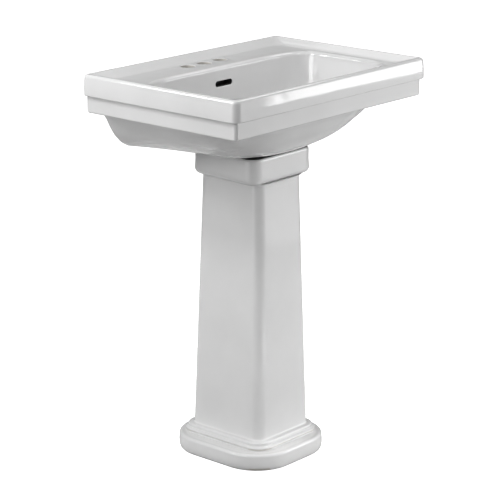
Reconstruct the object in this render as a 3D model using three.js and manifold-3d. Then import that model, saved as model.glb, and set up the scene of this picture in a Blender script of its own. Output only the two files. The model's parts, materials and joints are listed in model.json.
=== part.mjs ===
import * as THREE from "three";
import { mergeVertices } from "three/addons/utils/BufferGeometryUtils.js";
import Module from "manifold-3d";

// Pedestal sink in vitreous china, with its waste, trap and fixings. Millimetres, +Z up.
// The front faces -Y, +X is to the right of someone facing the sink, and the origin is on the floor
// below the middle of the basin.

// Space left between two pieces that touch
const GAP = 0.35;

// Basin rim
const RIM_WIDTH = 612;
const RIM_DEPTH = 419;
const RIM_TOP = 850;
const RIM_CORNER = { front: 16, back: 8 };
const UPPER_BAND = 44.5;
const LOWER_BAND = 36.5;
const BAND_STEP = 8.5;
const APRON_WALL = 13;
const DECK_Z = 837;
const DECK_THICKNESS = 17;
const LIP_TOP = { outer: 9.5, inner: 13.5, backOuter: 5, backInner: 9 };
const LIP_FOOT = { inset: 40, corner: 28 };
const WALL_Y = RIM_DEPTH / 2;
const STEP_Z = RIM_TOP - UPPER_BAND;
const APRON_Z = STEP_Z - LOWER_BAND;

// Bowl and the hull around it
const CHINA_WALL = 13;
const BELLY_Z = 678;
const BOWL_FLOOR_Z = 701;
const HULL_WAIST_Y = 20;
const RECESS_FRONT = 66;

// Faucet holes, overflow and drain hole
const FAUCET_SPACING = 50.8;
const FAUCET_HOLE_RADIUS = 16;
const FAUCET_LINE_Y = 152;
const OVERFLOW_Z = 801;
const OVERFLOW_SLOT = { width: 52, height: 12, front: 85 };
const OVERFLOW_BOSS = { halfWidth: 34, back: 128 };
const OVERFLOW_DUCT = { halfWidth: 25, front: 107, back: 118, low: 685, high: 694 };
const DRAIN_Y = -18;
const DRAIN_HOLE_RADIUS = 23;
const FLANGE_SEAT = { radius: 33, z: BOWL_FLOOR_Z - 2 };

// Pedestal
// Taper is how much of its width a section loses for each millimetre towards the wall
const PEDESTAL_TOP = 674.5;
const CAP = { width: 181, front: -72.5, back: 119, corner: 28, taper: 0.001, z: 618.5 };
const COLUMN_TOP = { width: 142, front: -65, back: 104.5, corner: 22, taper: 0 };
const COLUMN_FOOT = { width: 171, front: -78.5, back: 122, corner: 24, taper: 0, z: 57 };
const BASE = { width: 262, front: -122, back: 164, corner: 90, taper: 0, z: 41 };
const PEDESTAL_WALL = 14;
const PEDESTAL_FRONT_WALL = 11;
const BACK_OPENING = { low: 66, foot: 56, top: 48, front: 58 };
const FLOOR_LEDGE = { thickness: 14, front: 40 };

// Rubber pads between pedestal and basin
const PAD = { width: 12, length: 34, x: 73, front: -38, back: 48 };

// Waste
const BARREL = { outer: 21.5, inner: 17.5, low: 622 };
const AROUND_BARREL = BARREL.outer + GAP + 0.2;
const FLANGE = { radius: 32, thickness: 3, seal: 2 };
const FLANGE_TOP = FLANGE_SEAT.z + FLANGE.seal + FLANGE.thickness;
const GASKET = { radius: 30, height: 9 };
const FRICTION_WASHER = { radius: 29, thickness: 1.5 };
const LOCKNUT = { flats: 58, height: 12 };
const TAILPIECE = { outer: 15.9, inner: 14.6, low: 470, high: 630 };
const AROUND_TAILPIECE = TAILPIECE.outer + GAP + 0.2;
const TAILPIECE_NUT = { below: 8, above: 12, floor: 5, wall: 3.5 };
const STOPPER = { radius: 28, thickness: 3.2, travel: 8 };
const CAP_LOW = FLANGE_TOP + STOPPER.travel + GAP;
const STEM = { radius: 4, low: 642 };
const SPRING = { coil: 7.2, wire: 0.8, turns: 5, low: 655, high: 682 };

// Trap
const TRAP_TUBE = { outer: 18, inner: 16.5 };
const TRAP_RADIUS = 38;
const BEND_Z = 452;
const COLLAR = { outer: 20.4, height: 18 };
const SLIP_NUT = { flats: 48, height: 22, lip: 3, overlap: 14 };
const BEND_TOP = 494;
const ARM_TUBE = { outer: 15.9, inner: 14.6 };
const ARM_RADIUS = 30;
const ARM_Z = 540;
const ARM_LOW = 480;
const OUTLET_Y = DRAIN_Y + 2 * TRAP_RADIUS;
const ARM_END_Y = 136;
const CLEANOUT = {
  boss: 13,
  bore: 9,
  y: DRAIN_Y + TRAP_RADIUS,
  z: BEND_Z - TRAP_RADIUS - TRAP_TUBE.outer - 5,
};
const PLUG = { flats: 24, head: 7, seal: 2, shank: 8 };

// Fixings
const WALL_BOLT = { x: 112, z: 748, radius: 4, hole: 6.5, length: 32 };
const WALL_WASHER = { radius: 13, thickness: 2 };
const WALL_NUT = { flats: 13, height: 6.5 };
const FLOOR_SCREW = { x: 44, y: 86, radius: 3.5, hole: 5.5, flats: 11, head: 5 };
const FLOOR_WASHER = { radius: 11, thickness: 2 };
const HEX = 6;

const wasm = await Module();
wasm.setup();

// ---- Shapes ----

// A closed geometry as a solid that can be joined and cut
function solid(geometry) {
  const bare = geometry.clone();
  bare.deleteAttribute("normal");
  bare.deleteAttribute("uv");
  const merged = mergeVertices(bare, 1e-4);
  const vertProperties = merged.attributes.position.array;
  const triVerts = new Uint32Array(merged.index.array);
  return new wasm.Manifold(new wasm.Mesh({ numProp: 3, vertProperties, triVerts }));
}

function geometryOf(body) {
  const mesh = body.getMesh();
  const geometry = new THREE.BufferGeometry();
  geometry.setAttribute("position", new THREE.BufferAttribute(mesh.vertProperties, 3));
  geometry.setIndex(new THREE.BufferAttribute(mesh.triVerts, 1));
  geometry.computeVertexNormals();
  return geometry;
}

// What is left of a body after each cutter has been taken away
function cut(body, cutters) {
  return cutters.reduce((left, cutter) => left.subtract(cutter), body);
}

function join(bodies) {
  return bodies.reduce((sum, body) => sum.add(body));
}

function block(x0, x1, y0, y1, z0, z1) {
  const geometry = new THREE.BoxGeometry(x1 - x0, y1 - y0, z1 - z0);
  geometry.translate((x0 + x1) / 2, (y0 + y1) / 2, (z0 + z1) / 2);
  return solid(geometry);
}

// Upright cylinder or prism
function post(radius, x, y, z0, z1, sides = 32) {
  const geometry = new THREE.CylinderGeometry(radius, radius, z1 - z0, sides);
  geometry.rotateX(Math.PI / 2);
  geometry.translate(x, y, (z0 + z1) / 2);
  return solid(geometry);
}

// Cylinder or prism along Y
function pin(radius, x, z, y0, y1, sides = 24) {
  const geometry = new THREE.CylinderGeometry(radius, radius, y1 - y0, sides);
  geometry.translate(x, (y0 + y1) / 2, z);
  return solid(geometry);
}

// A closed [radius, height] profile turned about the upright axis through (x, y)
function turned(profile, x, y, sides = 32) {
  const points = profile.map(([radius, height]) => new THREE.Vector2(radius, height));
  const outward = THREE.ShapeUtils.area(points) > 0 ? points : points.reverse();
  const geometry = new THREE.LatheGeometry([...outward, outward[0]], sides);
  geometry.rotateX(Math.PI / 2);
  geometry.translate(x, y, 0);
  return solid(geometry);
}

function sleeve(outer, inner, x, y, z0, z1, sides = 32) {
  return turned([[inner, z0], [outer, z0], [outer, z1], [inner, z1]], x, y, sides);
}

// Radius of a hexagon's corners from its width across flats
function hexRadius(flats) {
  return flats / 2 / Math.cos(Math.PI / HEX);
}

// A skin over rings of equal length, listed from the lowest up and running anticlockwise from above
function loft(rings) {
  const count = rings[0].length;
  const positions = rings.flat().flatMap((point) => [point.x, point.y, point.z]);
  const index = [];
  for (let level = 0; level + 1 < rings.length; level++) {
    for (let i = 0; i < count; i++) {
      const next = (i + 1) % count;
      const low = level * count;
      const high = low + count;
      index.push(low + i, low + next, high + next, low + i, high + next, high + i);
    }
  }
  const last = (rings.length - 1) * count;
  const centres = [rings[0], rings[rings.length - 1]].map(middle);
  centres.forEach((centre) => positions.push(centre.x, centre.y, centre.z));
  const bottom = rings.length * count;
  for (let i = 0; i < count; i++) {
    const next = (i + 1) % count;
    index.push(bottom, next, i, bottom + 1, last + i, last + next);
  }
  const geometry = new THREE.BufferGeometry();
  geometry.setAttribute("position", new THREE.Float32BufferAttribute(positions, 3));
  geometry.setIndex(index);
  return solid(geometry);
}

function middle(ring) {
  const sum = ring.reduce((total, point) => total.add(point), new THREE.Vector3());
  return sum.divideScalar(ring.length);
}

// Ring around a rectangle with round corners, whose radius can be another at the two back corners
function roundedRing(width, depth, corner, yMiddle, z, steps = 6, backCorner = corner) {
  const ring = [];
  for (let quarter = 0; quarter < 4; quarter++) {
    const xSign = quarter === 0 || quarter === 3 ? 1 : -1;
    const ySign = quarter < 2 ? 1 : -1;
    const radius = quarter < 2 ? backCorner : corner;
    const xCentre = xSign * (width / 2 - radius);
    const yCentre = yMiddle + ySign * (depth / 2 - radius);
    for (let step = 0; step <= steps; step++) {
      const angle = ((quarter + step / steps) * Math.PI) / 2;
      const x = xCentre + radius * Math.cos(angle);
      const y = yCentre + radius * Math.sin(angle);
      ring.push(new THREE.Vector3(x, y, z));
    }
  }
  return ring;
}

// Sine or cosine raised to the power that squares up an ellipse, with its sign kept
function squared(value, power) {
  return Math.sign(value) * Math.abs(value) ** (2 / power);
}

// A value between the rows of a list in order of z, lowest first; past either end it follows the last slope
function between(rows, z, key) {
  const upper = Math.max(1, rows.findIndex((row) => row.z >= z));
  const above = z > rows[rows.length - 1].z ? rows.length - 1 : upper;
  const [a, b] = [rows[above - 1], rows[above]];
  return a[key] + ((b[key] - a[key]) * (z - a.z)) / (b.z - a.z);
}

// ---- Basin ----

// Outside of the hull, lowest first: half width at the waist, half width at the wall, front edge,
// and how square the front is (2 is an ellipse)
const HULL = [
  { z: BELLY_Z, waist: 120, wall: 171, front: -69, square: 2.3 },
  { z: 681, waist: 143, wall: 184, front: -89, square: 2.4 },
  { z: 689, waist: 163, wall: 198, front: -103, square: 2.5 },
  { z: 697, waist: 185, wall: 207, front: -117, square: 2.7 },
  { z: 710, waist: 205, wall: 220, front: -131, square: 2.9 },
  { z: 727, waist: 225, wall: 231, front: -145, square: 3.2 },
  { z: 746, waist: 240, wall: 242, front: -154, square: 3.6 },
  { z: APRON_Z, waist: 256, wall: 256, front: -165, square: 4.5 },
  { z: DECK_Z - 10, waist: 272, wall: 273, front: -176, square: 5 },
];

// Inside of the bowl, lowest first: half width, back edge, front edge, and how square it is
const BOWL = [
  { z: BOWL_FLOOR_Z, half: 60, back: 12, front: -48, square: 2 },
  { z: 703, half: 118, back: 40, front: -74, square: 2.3 },
  { z: 708, half: 158, back: 60, front: -94, square: 2.6 },
  { z: 717, half: 188, back: 74, front: -110, square: 3 },
  { z: 730, half: 210, back: 84, front: -122, square: 3.5 },
  { z: 748, half: 227, back: 90, front: -133, square: 4 },
  { z: APRON_Z, half: 240, back: 94, front: -143, square: 5 },
  { z: 826, half: 251, back: 97, front: -152, square: 6 },
  { z: 833, half: 255, back: 100, front: -156, square: 6 },
  { z: DECK_Z, half: 263, back: 107, front: -163, square: 6 },
  { z: RIM_TOP + 1, half: 263, back: 107, front: -163, square: 6 },
];

function hullRing({ z, waist, wall, front, square }) {
  const ring = [];
  const sideSteps = 4;
  const frontSteps = 22;
  for (let i = 0; i <= sideSteps; i++) {
    const share = i / sideSteps;
    const x = waist + (wall - waist) * share ** 1.5;
    ring.push(new THREE.Vector3(x, HULL_WAIST_Y + (WALL_Y - HULL_WAIST_Y) * share, z));
  }
  ring.push(...[...ring].reverse().map((point) => new THREE.Vector3(-point.x, point.y, z)));
  for (let i = 1; i < frontSteps; i++) {
    const angle = Math.PI * (1 + i / frontSteps);
    const x = waist * squared(Math.cos(angle), square);
    const y = HULL_WAIST_Y + (HULL_WAIST_Y - front) * squared(Math.sin(angle), square);
    ring.push(new THREE.Vector3(x, y, z));
  }
  return ring;
}

function bowlRing({ z, half, back, front, square }) {
  const ring = [];
  const steps = 44;
  for (let i = 0; i < steps; i++) {
    const angle = (2 * Math.PI * i) / steps;
    const x = half * squared(Math.cos(angle), square);
    const y = (back + front) / 2 + ((back - front) / 2) * squared(Math.sin(angle), square);
    ring.push(new THREE.Vector3(x, y, z));
  }
  return ring;
}

// Rim block with its two bands, whose back is flat against the wall. Each row is a height, how far it is
// set in from the outermost edge at the front and sides, and how far at the back.
function rimBlock() {
  const rows = [
    [APRON_Z, BAND_STEP + 2.5, 2.5],
    [APRON_Z + 2.5, BAND_STEP, 0],
    [STEP_Z - 1.5, BAND_STEP, 0],
    [STEP_Z - 0.5, BAND_STEP - 1, 0],
    [STEP_Z, 1.5, 0],
    [STEP_Z + 2, 0, 0],
    [RIM_TOP - 26, 0, 0],
    [RIM_TOP - 9, 1.5, 0],
    [RIM_TOP - 3.5, 3.8, 0.5],
    [RIM_TOP - 1, 6.5, 2],
    [RIM_TOP, LIP_TOP.outer, LIP_TOP.backOuter],
  ];
  return loft(rows.map(([z, inset, backInset]) => rimRing(z, inset, backInset)));
}

function rimRing(z, inset, backInset) {
  const corner = Math.max(RIM_CORNER.front - inset, 4);
  const backCorner = Math.max(RIM_CORNER.back - backInset, 3);
  const depth = RIM_DEPTH - inset - backInset;
  const yMiddle = (inset - backInset) / 2;
  return roundedRing(RIM_WIDTH - 2 * inset, depth, corner, yMiddle, z, 4, backCorner);
}

// Sunk surface inside the raised lip: a slope all round, down to the flat deck
function deckSink() {
  const { inset, corner } = LIP_FOOT;
  return loft([
    roundedRing(RIM_WIDTH - 2 * inset, RIM_DEPTH - 2 * inset, corner, 0, DECK_Z, 4),
    rimRing(RIM_TOP, LIP_TOP.inner, LIP_TOP.backInner),
    rimRing(RIM_TOP + 1, LIP_TOP.inner, LIP_TOP.backInner),
  ]);
}

// Hollow under the rim, between the apron and the hull
function rimHollow() {
  const inset = BAND_STEP + APRON_WALL;
  const top = DECK_Z - DECK_THICKNESS;
  return loft([APRON_Z - 1, top].map((z) => rimRing(z, inset, APRON_WALL)));
}

// Open space behind the bowl, under the faucet deck, where the faucet's shanks and nuts go
function serviceRecess() {
  const back = WALL_Y - CHINA_WALL;
  const levels = [BELLY_Z - 5, ...HULL.slice(1, -1).map((row) => row.z), DECK_Z - DECK_THICKNESS];
  const rings = levels.map((z) => {
    const front = Math.max(between(BOWL, z, "back"), RECESS_FRONT) + CHINA_WALL;
    const xFront = between(HULL, z, "waist") - CHINA_WALL;
    const xBack = between(HULL, z, "wall") - CHINA_WALL;
    const corners = [[xFront, front], [xBack, back], [-xBack, back], [-xFront, front]];
    return corners.map(([x, y]) => new THREE.Vector3(x, y, z));
  });
  const { halfWidth, back: bossBack } = OVERFLOW_BOSS;
  return loft(rings).subtract(block(-halfWidth, halfWidth, 0, bossBack, BELLY_Z - 9, RIM_TOP));
}

// Slot in the bowl's back wall, duct down behind it, and duct forward into the drain hole
function overflowCutters() {
  const { halfWidth, front, back, low, high } = OVERFLOW_DUCT;
  const { width, height } = OVERFLOW_SLOT;
  const half = width / 2 - height / 2;
  const slotFront = OVERFLOW_SLOT.front;
  const slotBack = front + 1;
  return [
    block(-half, half, slotFront, slotBack, OVERFLOW_Z - height / 2, OVERFLOW_Z + height / 2),
    pin(height / 2, -half, OVERFLOW_Z, slotFront, slotBack),
    pin(height / 2, half, OVERFLOW_Z, slotFront, slotBack),
    block(-halfWidth, halfWidth, front, back, low, OVERFLOW_Z + height),
    block(-DRAIN_HOLE_RADIUS + 4, DRAIN_HOLE_RADIUS - 4, DRAIN_Y, back, low, high),
  ];
}

function faucetHoles() {
  const places = [-FAUCET_SPACING, 0, FAUCET_SPACING];
  return places.map((x) => post(FAUCET_HOLE_RADIUS, x, FAUCET_LINE_Y, 800, RIM_TOP, 28));
}

function wallBoltHoles() {
  return [-1, 1].map((side) => pin(WALL_BOLT.hole, side * WALL_BOLT.x, WALL_BOLT.z, 180, WALL_Y + 1));
}

function basin() {
  const hull = loft(HULL.map(hullRing));
  const shell = join([cut(rimBlock(), [rimHollow()]), hull]);
  const seat = FLANGE_SEAT;
  return cut(shell, [
    deckSink(),
    loft(BOWL.map(bowlRing)),
    serviceRecess(),
    ...overflowCutters(),
    ...faucetHoles(),
    ...wallBoltHoles(),
    post(DRAIN_HOLE_RADIUS, 0, DRAIN_Y, BELLY_Z - 5, seat.z + 5, 40),
    post(seat.radius, 0, DRAIN_Y, seat.z, seat.z + 10, 40),
  ]);
}

// ---- Pedestal ----

// Ring around a section of the pedestal, grown or shrunk
function cornerRing({ width, front, back, corner, taper }, z, grow = 0, cornerGrow = grow) {
  const yMiddle = (front + back) / 2;
  const radius = Math.max(corner + cornerGrow, 2);
  const ring = roundedRing(width + 2 * grow, back - front + 2 * grow, radius, yMiddle, z);
  ring.forEach((point) => point.setX(point.x * (1 - taper * (point.y - yMiddle))));
  return ring;
}

function pedestalOutside() {
  const tier = { ...COLUMN_FOOT, corner: COLUMN_FOOT.corner + 14 };
  return loft([
    cornerRing(BASE, 0, -7.5),
    cornerRing(BASE, 3.5, -2),
    cornerRing(BASE, 18, 0),
    cornerRing(BASE, 29.5, -0.7),
    cornerRing(BASE, 35.5, -3.2),
    cornerRing(BASE, 38.2, -11),
    cornerRing(tier, BASE.z, 16.4, 7),
    cornerRing(tier, 46, 17.6, 8),
    cornerRing(tier, 50, 13, 5),
    cornerRing(tier, 55, 10.5, 2),
    cornerRing(COLUMN_FOOT, COLUMN_FOOT.z, 1.5),
    cornerRing(COLUMN_FOOT, COLUMN_FOOT.z + 4),
    cornerRing(COLUMN_TOP, CAP.z - 2),
    cornerRing(CAP, CAP.z, -9.5),
    cornerRing(CAP, CAP.z + 5, -4),
    cornerRing(CAP, CAP.z + 12, -1),
    cornerRing(CAP, CAP.z + 20, 0),
    cornerRing(CAP, PEDESTAL_TOP - 6, 0),
    cornerRing(CAP, PEDESTAL_TOP - 1.8, -1.8),
    cornerRing(CAP, PEDESTAL_TOP, -6),
  ]);
}

// Hollow inside, from the floor to the open top
function pedestalInside() {
  const wall = PEDESTAL_WALL;
  const thinFront = (section) => ({ ...section, front: section.front - wall + PEDESTAL_FRONT_WALL });
  const foot = thinFront(COLUMN_FOOT);
  const top = thinFront(COLUMN_TOP);
  return loft([
    cornerRing(BASE, -1, -wall - 7, -wall - 14),
    cornerRing(BASE, 22, -wall - 7, -wall - 14),
    cornerRing(foot, 44, -wall + 2),
    cornerRing(foot, COLUMN_FOOT.z + 4, -wall),
    cornerRing(top, CAP.z, -wall),
    cornerRing(top, PEDESTAL_TOP + 1, -wall + 2),
  ]);
}

// Opening up the back of the column and cap, which lets the pedestal slide in around the trap
function backOpening() {
  const { low, foot, top, front } = BACK_OPENING;
  const depth = WALL_Y - front;
  const ring = (half, z) => roundedRing(2 * half, depth, 6, front + depth / 2, z, 2);
  return loft([ring(foot - 8, low), ring(foot, low + 8), ring(top, PEDESTAL_TOP + 1)]);
}

// Plate across the inside of the base, which the floor screws clamp
function floorLedge() {
  const { thickness, front } = FLOOR_LEDGE;
  const back = BASE.back - PEDESTAL_WALL;
  const half = BASE.width / 2 - PEDESTAL_WALL;
  const plate = block(-half, half, front, back, 0, thickness);
  return plate.intersect(loft([cornerRing(BASE, 0, -9), cornerRing(BASE, thickness + 1, -1.5)]));
}

function pedestal() {
  const holes = [-1, 1].map((side) =>
    post(FLOOR_SCREW.hole, side * FLOOR_SCREW.x, FLOOR_SCREW.y, -1, FLOOR_LEDGE.thickness + 1, 20),
  );
  const shell = cut(pedestalOutside(), [pedestalInside(), backOpening()]);
  return cut(shell.add(floorLedge()), holes);
}

function pad(side, y) {
  const x = side * PAD.x;
  const low = PEDESTAL_TOP + GAP;
  const top = BELLY_Z - GAP;
  return block(x - PAD.width / 2, x + PAD.width / 2, y - PAD.length / 2, y + PAD.length / 2, low, top);
}

// ---- Waste ----

// Flange in the bowl, barrel through the china, and ports that let the overflow in
function drainBody() {
  const { outer, inner, low } = BARREL;
  const top = FLANGE_TOP;
  const profile = [
    [inner, low],
    [outer, low],
    [outer, top - FLANGE.thickness - 1],
    [outer + 2, top - FLANGE.thickness],
    [FLANGE.radius - 1, top - FLANGE.thickness],
    [FLANGE.radius, top - FLANGE.thickness + 0.8],
    [FLANGE.radius - 3, top - 0.6],
    [inner + 9, top],
    [inner + 4, top - 2.5],
    [inner + 0.5, top - 6],
    [inner, top - 12],
  ];
  const { low: portLow, high: portHigh } = OVERFLOW_DUCT;
  const reach = outer + 5;
  return cut(turned(profile, 0, DRAIN_Y), [
    block(-reach, reach, DRAIN_Y - 6, DRAIN_Y + 6, portLow + 1, portHigh - 1),
  ]);
}

function flangeSeal() {
  const low = FLANGE_SEAT.z + GAP;
  const high = FLANGE_SEAT.z + FLANGE.seal - GAP;
  return sleeve(FLANGE.radius - 2, BARREL.outer + 2.6, 0, DRAIN_Y, low, high);
}

// Tapered rubber ring pressed up against the underside of the china
function basinGasket() {
  const inner = AROUND_BARREL;
  const top = BELLY_Z - GAP;
  const low = top - GASKET.height;
  const profile = [
    [inner, low],
    [GASKET.radius, low],
    [GASKET.radius, low + 4],
    [inner + 3, top],
    [inner, top],
  ];
  return turned(profile, 0, DRAIN_Y);
}

function frictionWasher() {
  const top = BELLY_Z - 2 * GAP - GASKET.height;
  const { radius, thickness } = FRICTION_WASHER;
  return sleeve(radius, AROUND_BARREL, 0, DRAIN_Y, top - thickness, top);
}

function drainLocknut() {
  const top = BELLY_Z - 3 * GAP - GASKET.height - FRICTION_WASHER.thickness;
  const hex = post(hexRadius(LOCKNUT.flats), 0, DRAIN_Y, top - LOCKNUT.height, top, HEX);
  return hex.subtract(post(AROUND_BARREL, 0, DRAIN_Y, top - 20, top + 1));
}

// Stopper's stem runs in this: a hub held by three arms inside the barrel
function stopperGuide() {
  const ringOuter = BARREL.inner - GAP;
  const high = SPRING.low - GAP;
  const low = high - 7;
  const ring = sleeve(ringOuter, ringOuter - 2, 0, DRAIN_Y, low, high, 24);
  const hub = sleeve(SPRING.coil + 1.8, STEM.radius + GAP, 0, DRAIN_Y, low, high, 16);
  const arms = [0, 1, 2].map((arm) => {
    const geometry = new THREE.BoxGeometry(ringOuter - SPRING.coil - 1.5, 2.4, 5);
    geometry.translate((ringOuter + SPRING.coil) / 2, 0, (low + high) / 2);
    geometry.rotateZ((arm * 2 * Math.PI) / 3);
    geometry.translate(0, DRAIN_Y, 0);
    return solid(geometry);
  });
  return join([ring, hub, ...arms]);
}

// Domed cap, raised above the flange by its travel while the waste is open
function stopperCap() {
  const { radius, thickness } = STOPPER;
  const dome = [
    [0, CAP_LOW],
    [radius - 1, CAP_LOW],
    [radius, CAP_LOW + 1],
    [radius - 1, CAP_LOW + 2],
    [radius * 0.6, CAP_LOW + thickness],
    [0, CAP_LOW + thickness + 0.6],
  ];
  return turned(dome, 0, DRAIN_Y);
}

// Soft ring under the cap, which closes on the flange
function stopperSeal() {
  const top = CAP_LOW - GAP;
  const profile = [[9, top - 2.4], [21, top - 2.4], [23.5, top - 1], [23.5, top], [9, top]];
  return turned(profile, 0, DRAIN_Y);
}

// Stem with a collar that the spring pushes up
function stopperStem() {
  const top = CAP_LOW - GAP;
  const profile = [
    [0, STEM.low],
    [STEM.radius, STEM.low],
    [STEM.radius, SPRING.high + GAP],
    [SPRING.coil + 1.4, SPRING.high + GAP],
    [SPRING.coil + 1.4, SPRING.high + 3],
    [STEM.radius + 1.5, SPRING.high + 6],
    [STEM.radius + 1.5, top - 3],
    [8, top - 2],
    [8, top],
    [0, top],
  ];
  return turned(profile, 0, DRAIN_Y, 20);
}

// Helix for a wire, about the upright axis through the drain
class Helix extends THREE.Curve {
  getPoint(t, target = new THREE.Vector3()) {
    const angle = 2 * Math.PI * SPRING.turns * t;
    const low = SPRING.low + SPRING.wire;
    const high = SPRING.high - SPRING.wire;
    const radius = SPRING.coil - SPRING.wire;
    return target.set(
      radius * Math.cos(angle),
      DRAIN_Y + radius * Math.sin(angle),
      low + (high - low) * t,
    );
  }
}

function stopperSpring() {
  const section = new THREE.Shape();
  section.absarc(0, 0, SPRING.wire, 0, 2 * Math.PI);
  const options = { steps: 60, curveSegments: 3, bevelEnabled: false, extrudePath: new Helix() };
  return solid(new THREE.ExtrudeGeometry(section, options));
}

// Plain tube from the foot of the barrel down into the trap
function tailpiece() {
  const { outer, inner, low, high } = TAILPIECE;
  return sleeve(outer, inner, 0, DRAIN_Y, low, high, 24);
}

// Nut that holds the tailpiece to the barrel
function tailpieceNut() {
  const { below, above, floor, wall } = TAILPIECE_NUT;
  const low = BARREL.low - below;
  const high = BARREL.low + above;
  const hex = post(hexRadius(2 * (AROUND_BARREL + wall)), 0, DRAIN_Y, low, high, HEX);
  return cut(hex, [
    post(AROUND_BARREL, 0, DRAIN_Y, low + floor, high + 1),
    post(AROUND_TAILPIECE, 0, DRAIN_Y, low - 1, high),
  ]);
}

function tailpieceSeal() {
  const top = BARREL.low - GAP;
  const inner = TAILPIECE.outer + GAP;
  return sleeve(BARREL.outer - 0.3, inner, 0, DRAIN_Y, BARREL.low - 3 + GAP, top);
}

// ---- Trap ----

// Solid rod along a curve, with a round section of twice as many sides as curve segments
function rod(curve, radius, steps) {
  const section = new THREE.Shape();
  section.absarc(0, 0, radius, 0, 2 * Math.PI);
  const options = { steps, curveSegments: 9, bevelEnabled: false, extrudePath: curve };
  return solid(new THREE.ExtrudeGeometry(section, options));
}

// Middle line of the trap: down the inlet leg, round the half turn and up the outlet leg. Both legs are
// longer than the bend's own by the overrun.
class TrapLine extends THREE.Curve {
  constructor(overrun) {
    super();
    this.leg = BEND_TOP + overrun - BEND_Z;
    this.arc = Math.PI * TRAP_RADIUS;
  }

  getPoint(t, target = new THREE.Vector3()) {
    const along = t * (2 * this.leg + this.arc);
    if (along < this.leg) return target.set(0, DRAIN_Y, BEND_Z + this.leg - along);
    if (along > this.leg + this.arc) {
      return target.set(0, OUTLET_Y, BEND_Z + along - this.leg - this.arc);
    }
    const angle = Math.PI + (along - this.leg) / TRAP_RADIUS;
    const y = DRAIN_Y + TRAP_RADIUS + TRAP_RADIUS * Math.cos(angle);
    return target.set(0, y, BEND_Z + TRAP_RADIUS * Math.sin(angle));
  }
}

function trapBend() {
  const collars = [DRAIN_Y, OUTLET_Y].map((y) =>
    post(COLLAR.outer, 0, y, BEND_TOP - COLLAR.height, BEND_TOP, 24),
  );
  const lowest = BEND_Z - TRAP_RADIUS;
  const boss = post(CLEANOUT.boss, 0, CLEANOUT.y, CLEANOUT.z, lowest);
  const bore = post(CLEANOUT.bore, 0, CLEANOUT.y, CLEANOUT.z - 1, lowest);
  const outside = join([rod(new TrapLine(0), TRAP_TUBE.outer, 20), ...collars, boss]);
  return cut(outside, [rod(new TrapLine(2), TRAP_TUBE.inner, 20), bore]);
}

// Slip nut around a collar of the bend and the tube that enters it
function slipNut(y) {
  const low = BEND_TOP - SLIP_NUT.overlap;
  const high = low + SLIP_NUT.height;
  const hex = post(hexRadius(SLIP_NUT.flats), 0, y, low, high, HEX);
  return cut(hex, [
    post(COLLAR.outer + GAP + 0.1, 0, y, low - 1, high - SLIP_NUT.lip, 24),
    post(AROUND_TAILPIECE, 0, y, low, high + 1, 24),
  ]);
}

// Soft ring squeezed between the nut and the end of the bend
function slipWasher(y) {
  const low = BEND_TOP + GAP;
  const high = BEND_TOP - SLIP_NUT.overlap + SLIP_NUT.height - SLIP_NUT.lip - GAP;
  return sleeve(COLLAR.outer - 0.4, TAILPIECE.outer + GAP, 0, y, low, high, 24);
}

// From inside the bend's outlet up, round an elbow and back towards the wall
class ArmLine extends THREE.Curve {
  constructor(overrun) {
    super();
    this.low = ARM_LOW - overrun;
    this.rise = ARM_Z - ARM_RADIUS - this.low;
    this.arc = (Math.PI / 2) * ARM_RADIUS;
    this.run = ARM_END_Y + overrun - OUTLET_Y - ARM_RADIUS;
  }

  getPoint(t, target = new THREE.Vector3()) {
    const along = t * (this.rise + this.arc + this.run);
    if (along < this.rise) return target.set(0, OUTLET_Y, this.low + along);
    if (along > this.rise + this.arc) {
      return target.set(0, OUTLET_Y + ARM_RADIUS + along - this.rise - this.arc, ARM_Z);
    }
    const angle = Math.PI - (along - this.rise) / ARM_RADIUS;
    const y = OUTLET_Y + ARM_RADIUS + ARM_RADIUS * Math.cos(angle);
    return target.set(0, y, ARM_Z - ARM_RADIUS + ARM_RADIUS * Math.sin(angle));
  }
}

function trapArm() {
  return rod(new ArmLine(0), ARM_TUBE.outer, 18).subtract(rod(new ArmLine(2), ARM_TUBE.inner, 18));
}

function cleanoutPlug() {
  const { y, z, bore } = CLEANOUT;
  const headTop = z - PLUG.seal;
  const head = post(hexRadius(PLUG.flats), 0, y, headTop - PLUG.head, headTop, HEX);
  return head.add(post(bore - GAP, 0, y, headTop - 2, z + PLUG.shank, 24));
}

function cleanoutSeal() {
  const { y, z, bore } = CLEANOUT;
  return sleeve(PLUG.flats / 2, bore + 0.1, 0, y, z - PLUG.seal + GAP, z - GAP, 24);
}

// ---- Fixings ----

function wallStud(side) {
  const { x, z, radius, length } = WALL_BOLT;
  return pin(radius, side * x, z, WALL_Y - length, WALL_Y - GAP, 16);
}

function wallWasher(side) {
  const { x, z, radius } = WALL_BOLT;
  const back = WALL_Y - CHINA_WALL - GAP;
  const front = back - WALL_WASHER.thickness;
  const disc = pin(WALL_WASHER.radius, side * x, z, front, back, 24);
  return disc.subtract(pin(radius + GAP, side * x, z, front - 1, back + 1, 16));
}

function wallNut(side) {
  const { x, z, radius } = WALL_BOLT;
  const back = WALL_Y - CHINA_WALL - 2 * GAP - WALL_WASHER.thickness;
  const front = back - WALL_NUT.height;
  const hex = pin(hexRadius(WALL_NUT.flats), side * x, z, front, back, HEX);
  return hex.subtract(pin(radius + GAP, side * x, z, front - 1, back + 1, 16));
}

function floorScrew(side) {
  const { x, y, radius, flats, head } = FLOOR_SCREW;
  const seat = FLOOR_LEDGE.thickness + 2 * GAP + FLOOR_WASHER.thickness;
  const hex = post(hexRadius(flats), side * x, y, seat, seat + head, HEX);
  return hex.add(post(radius, side * x, y, GAP, seat + 1, 16));
}

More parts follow.
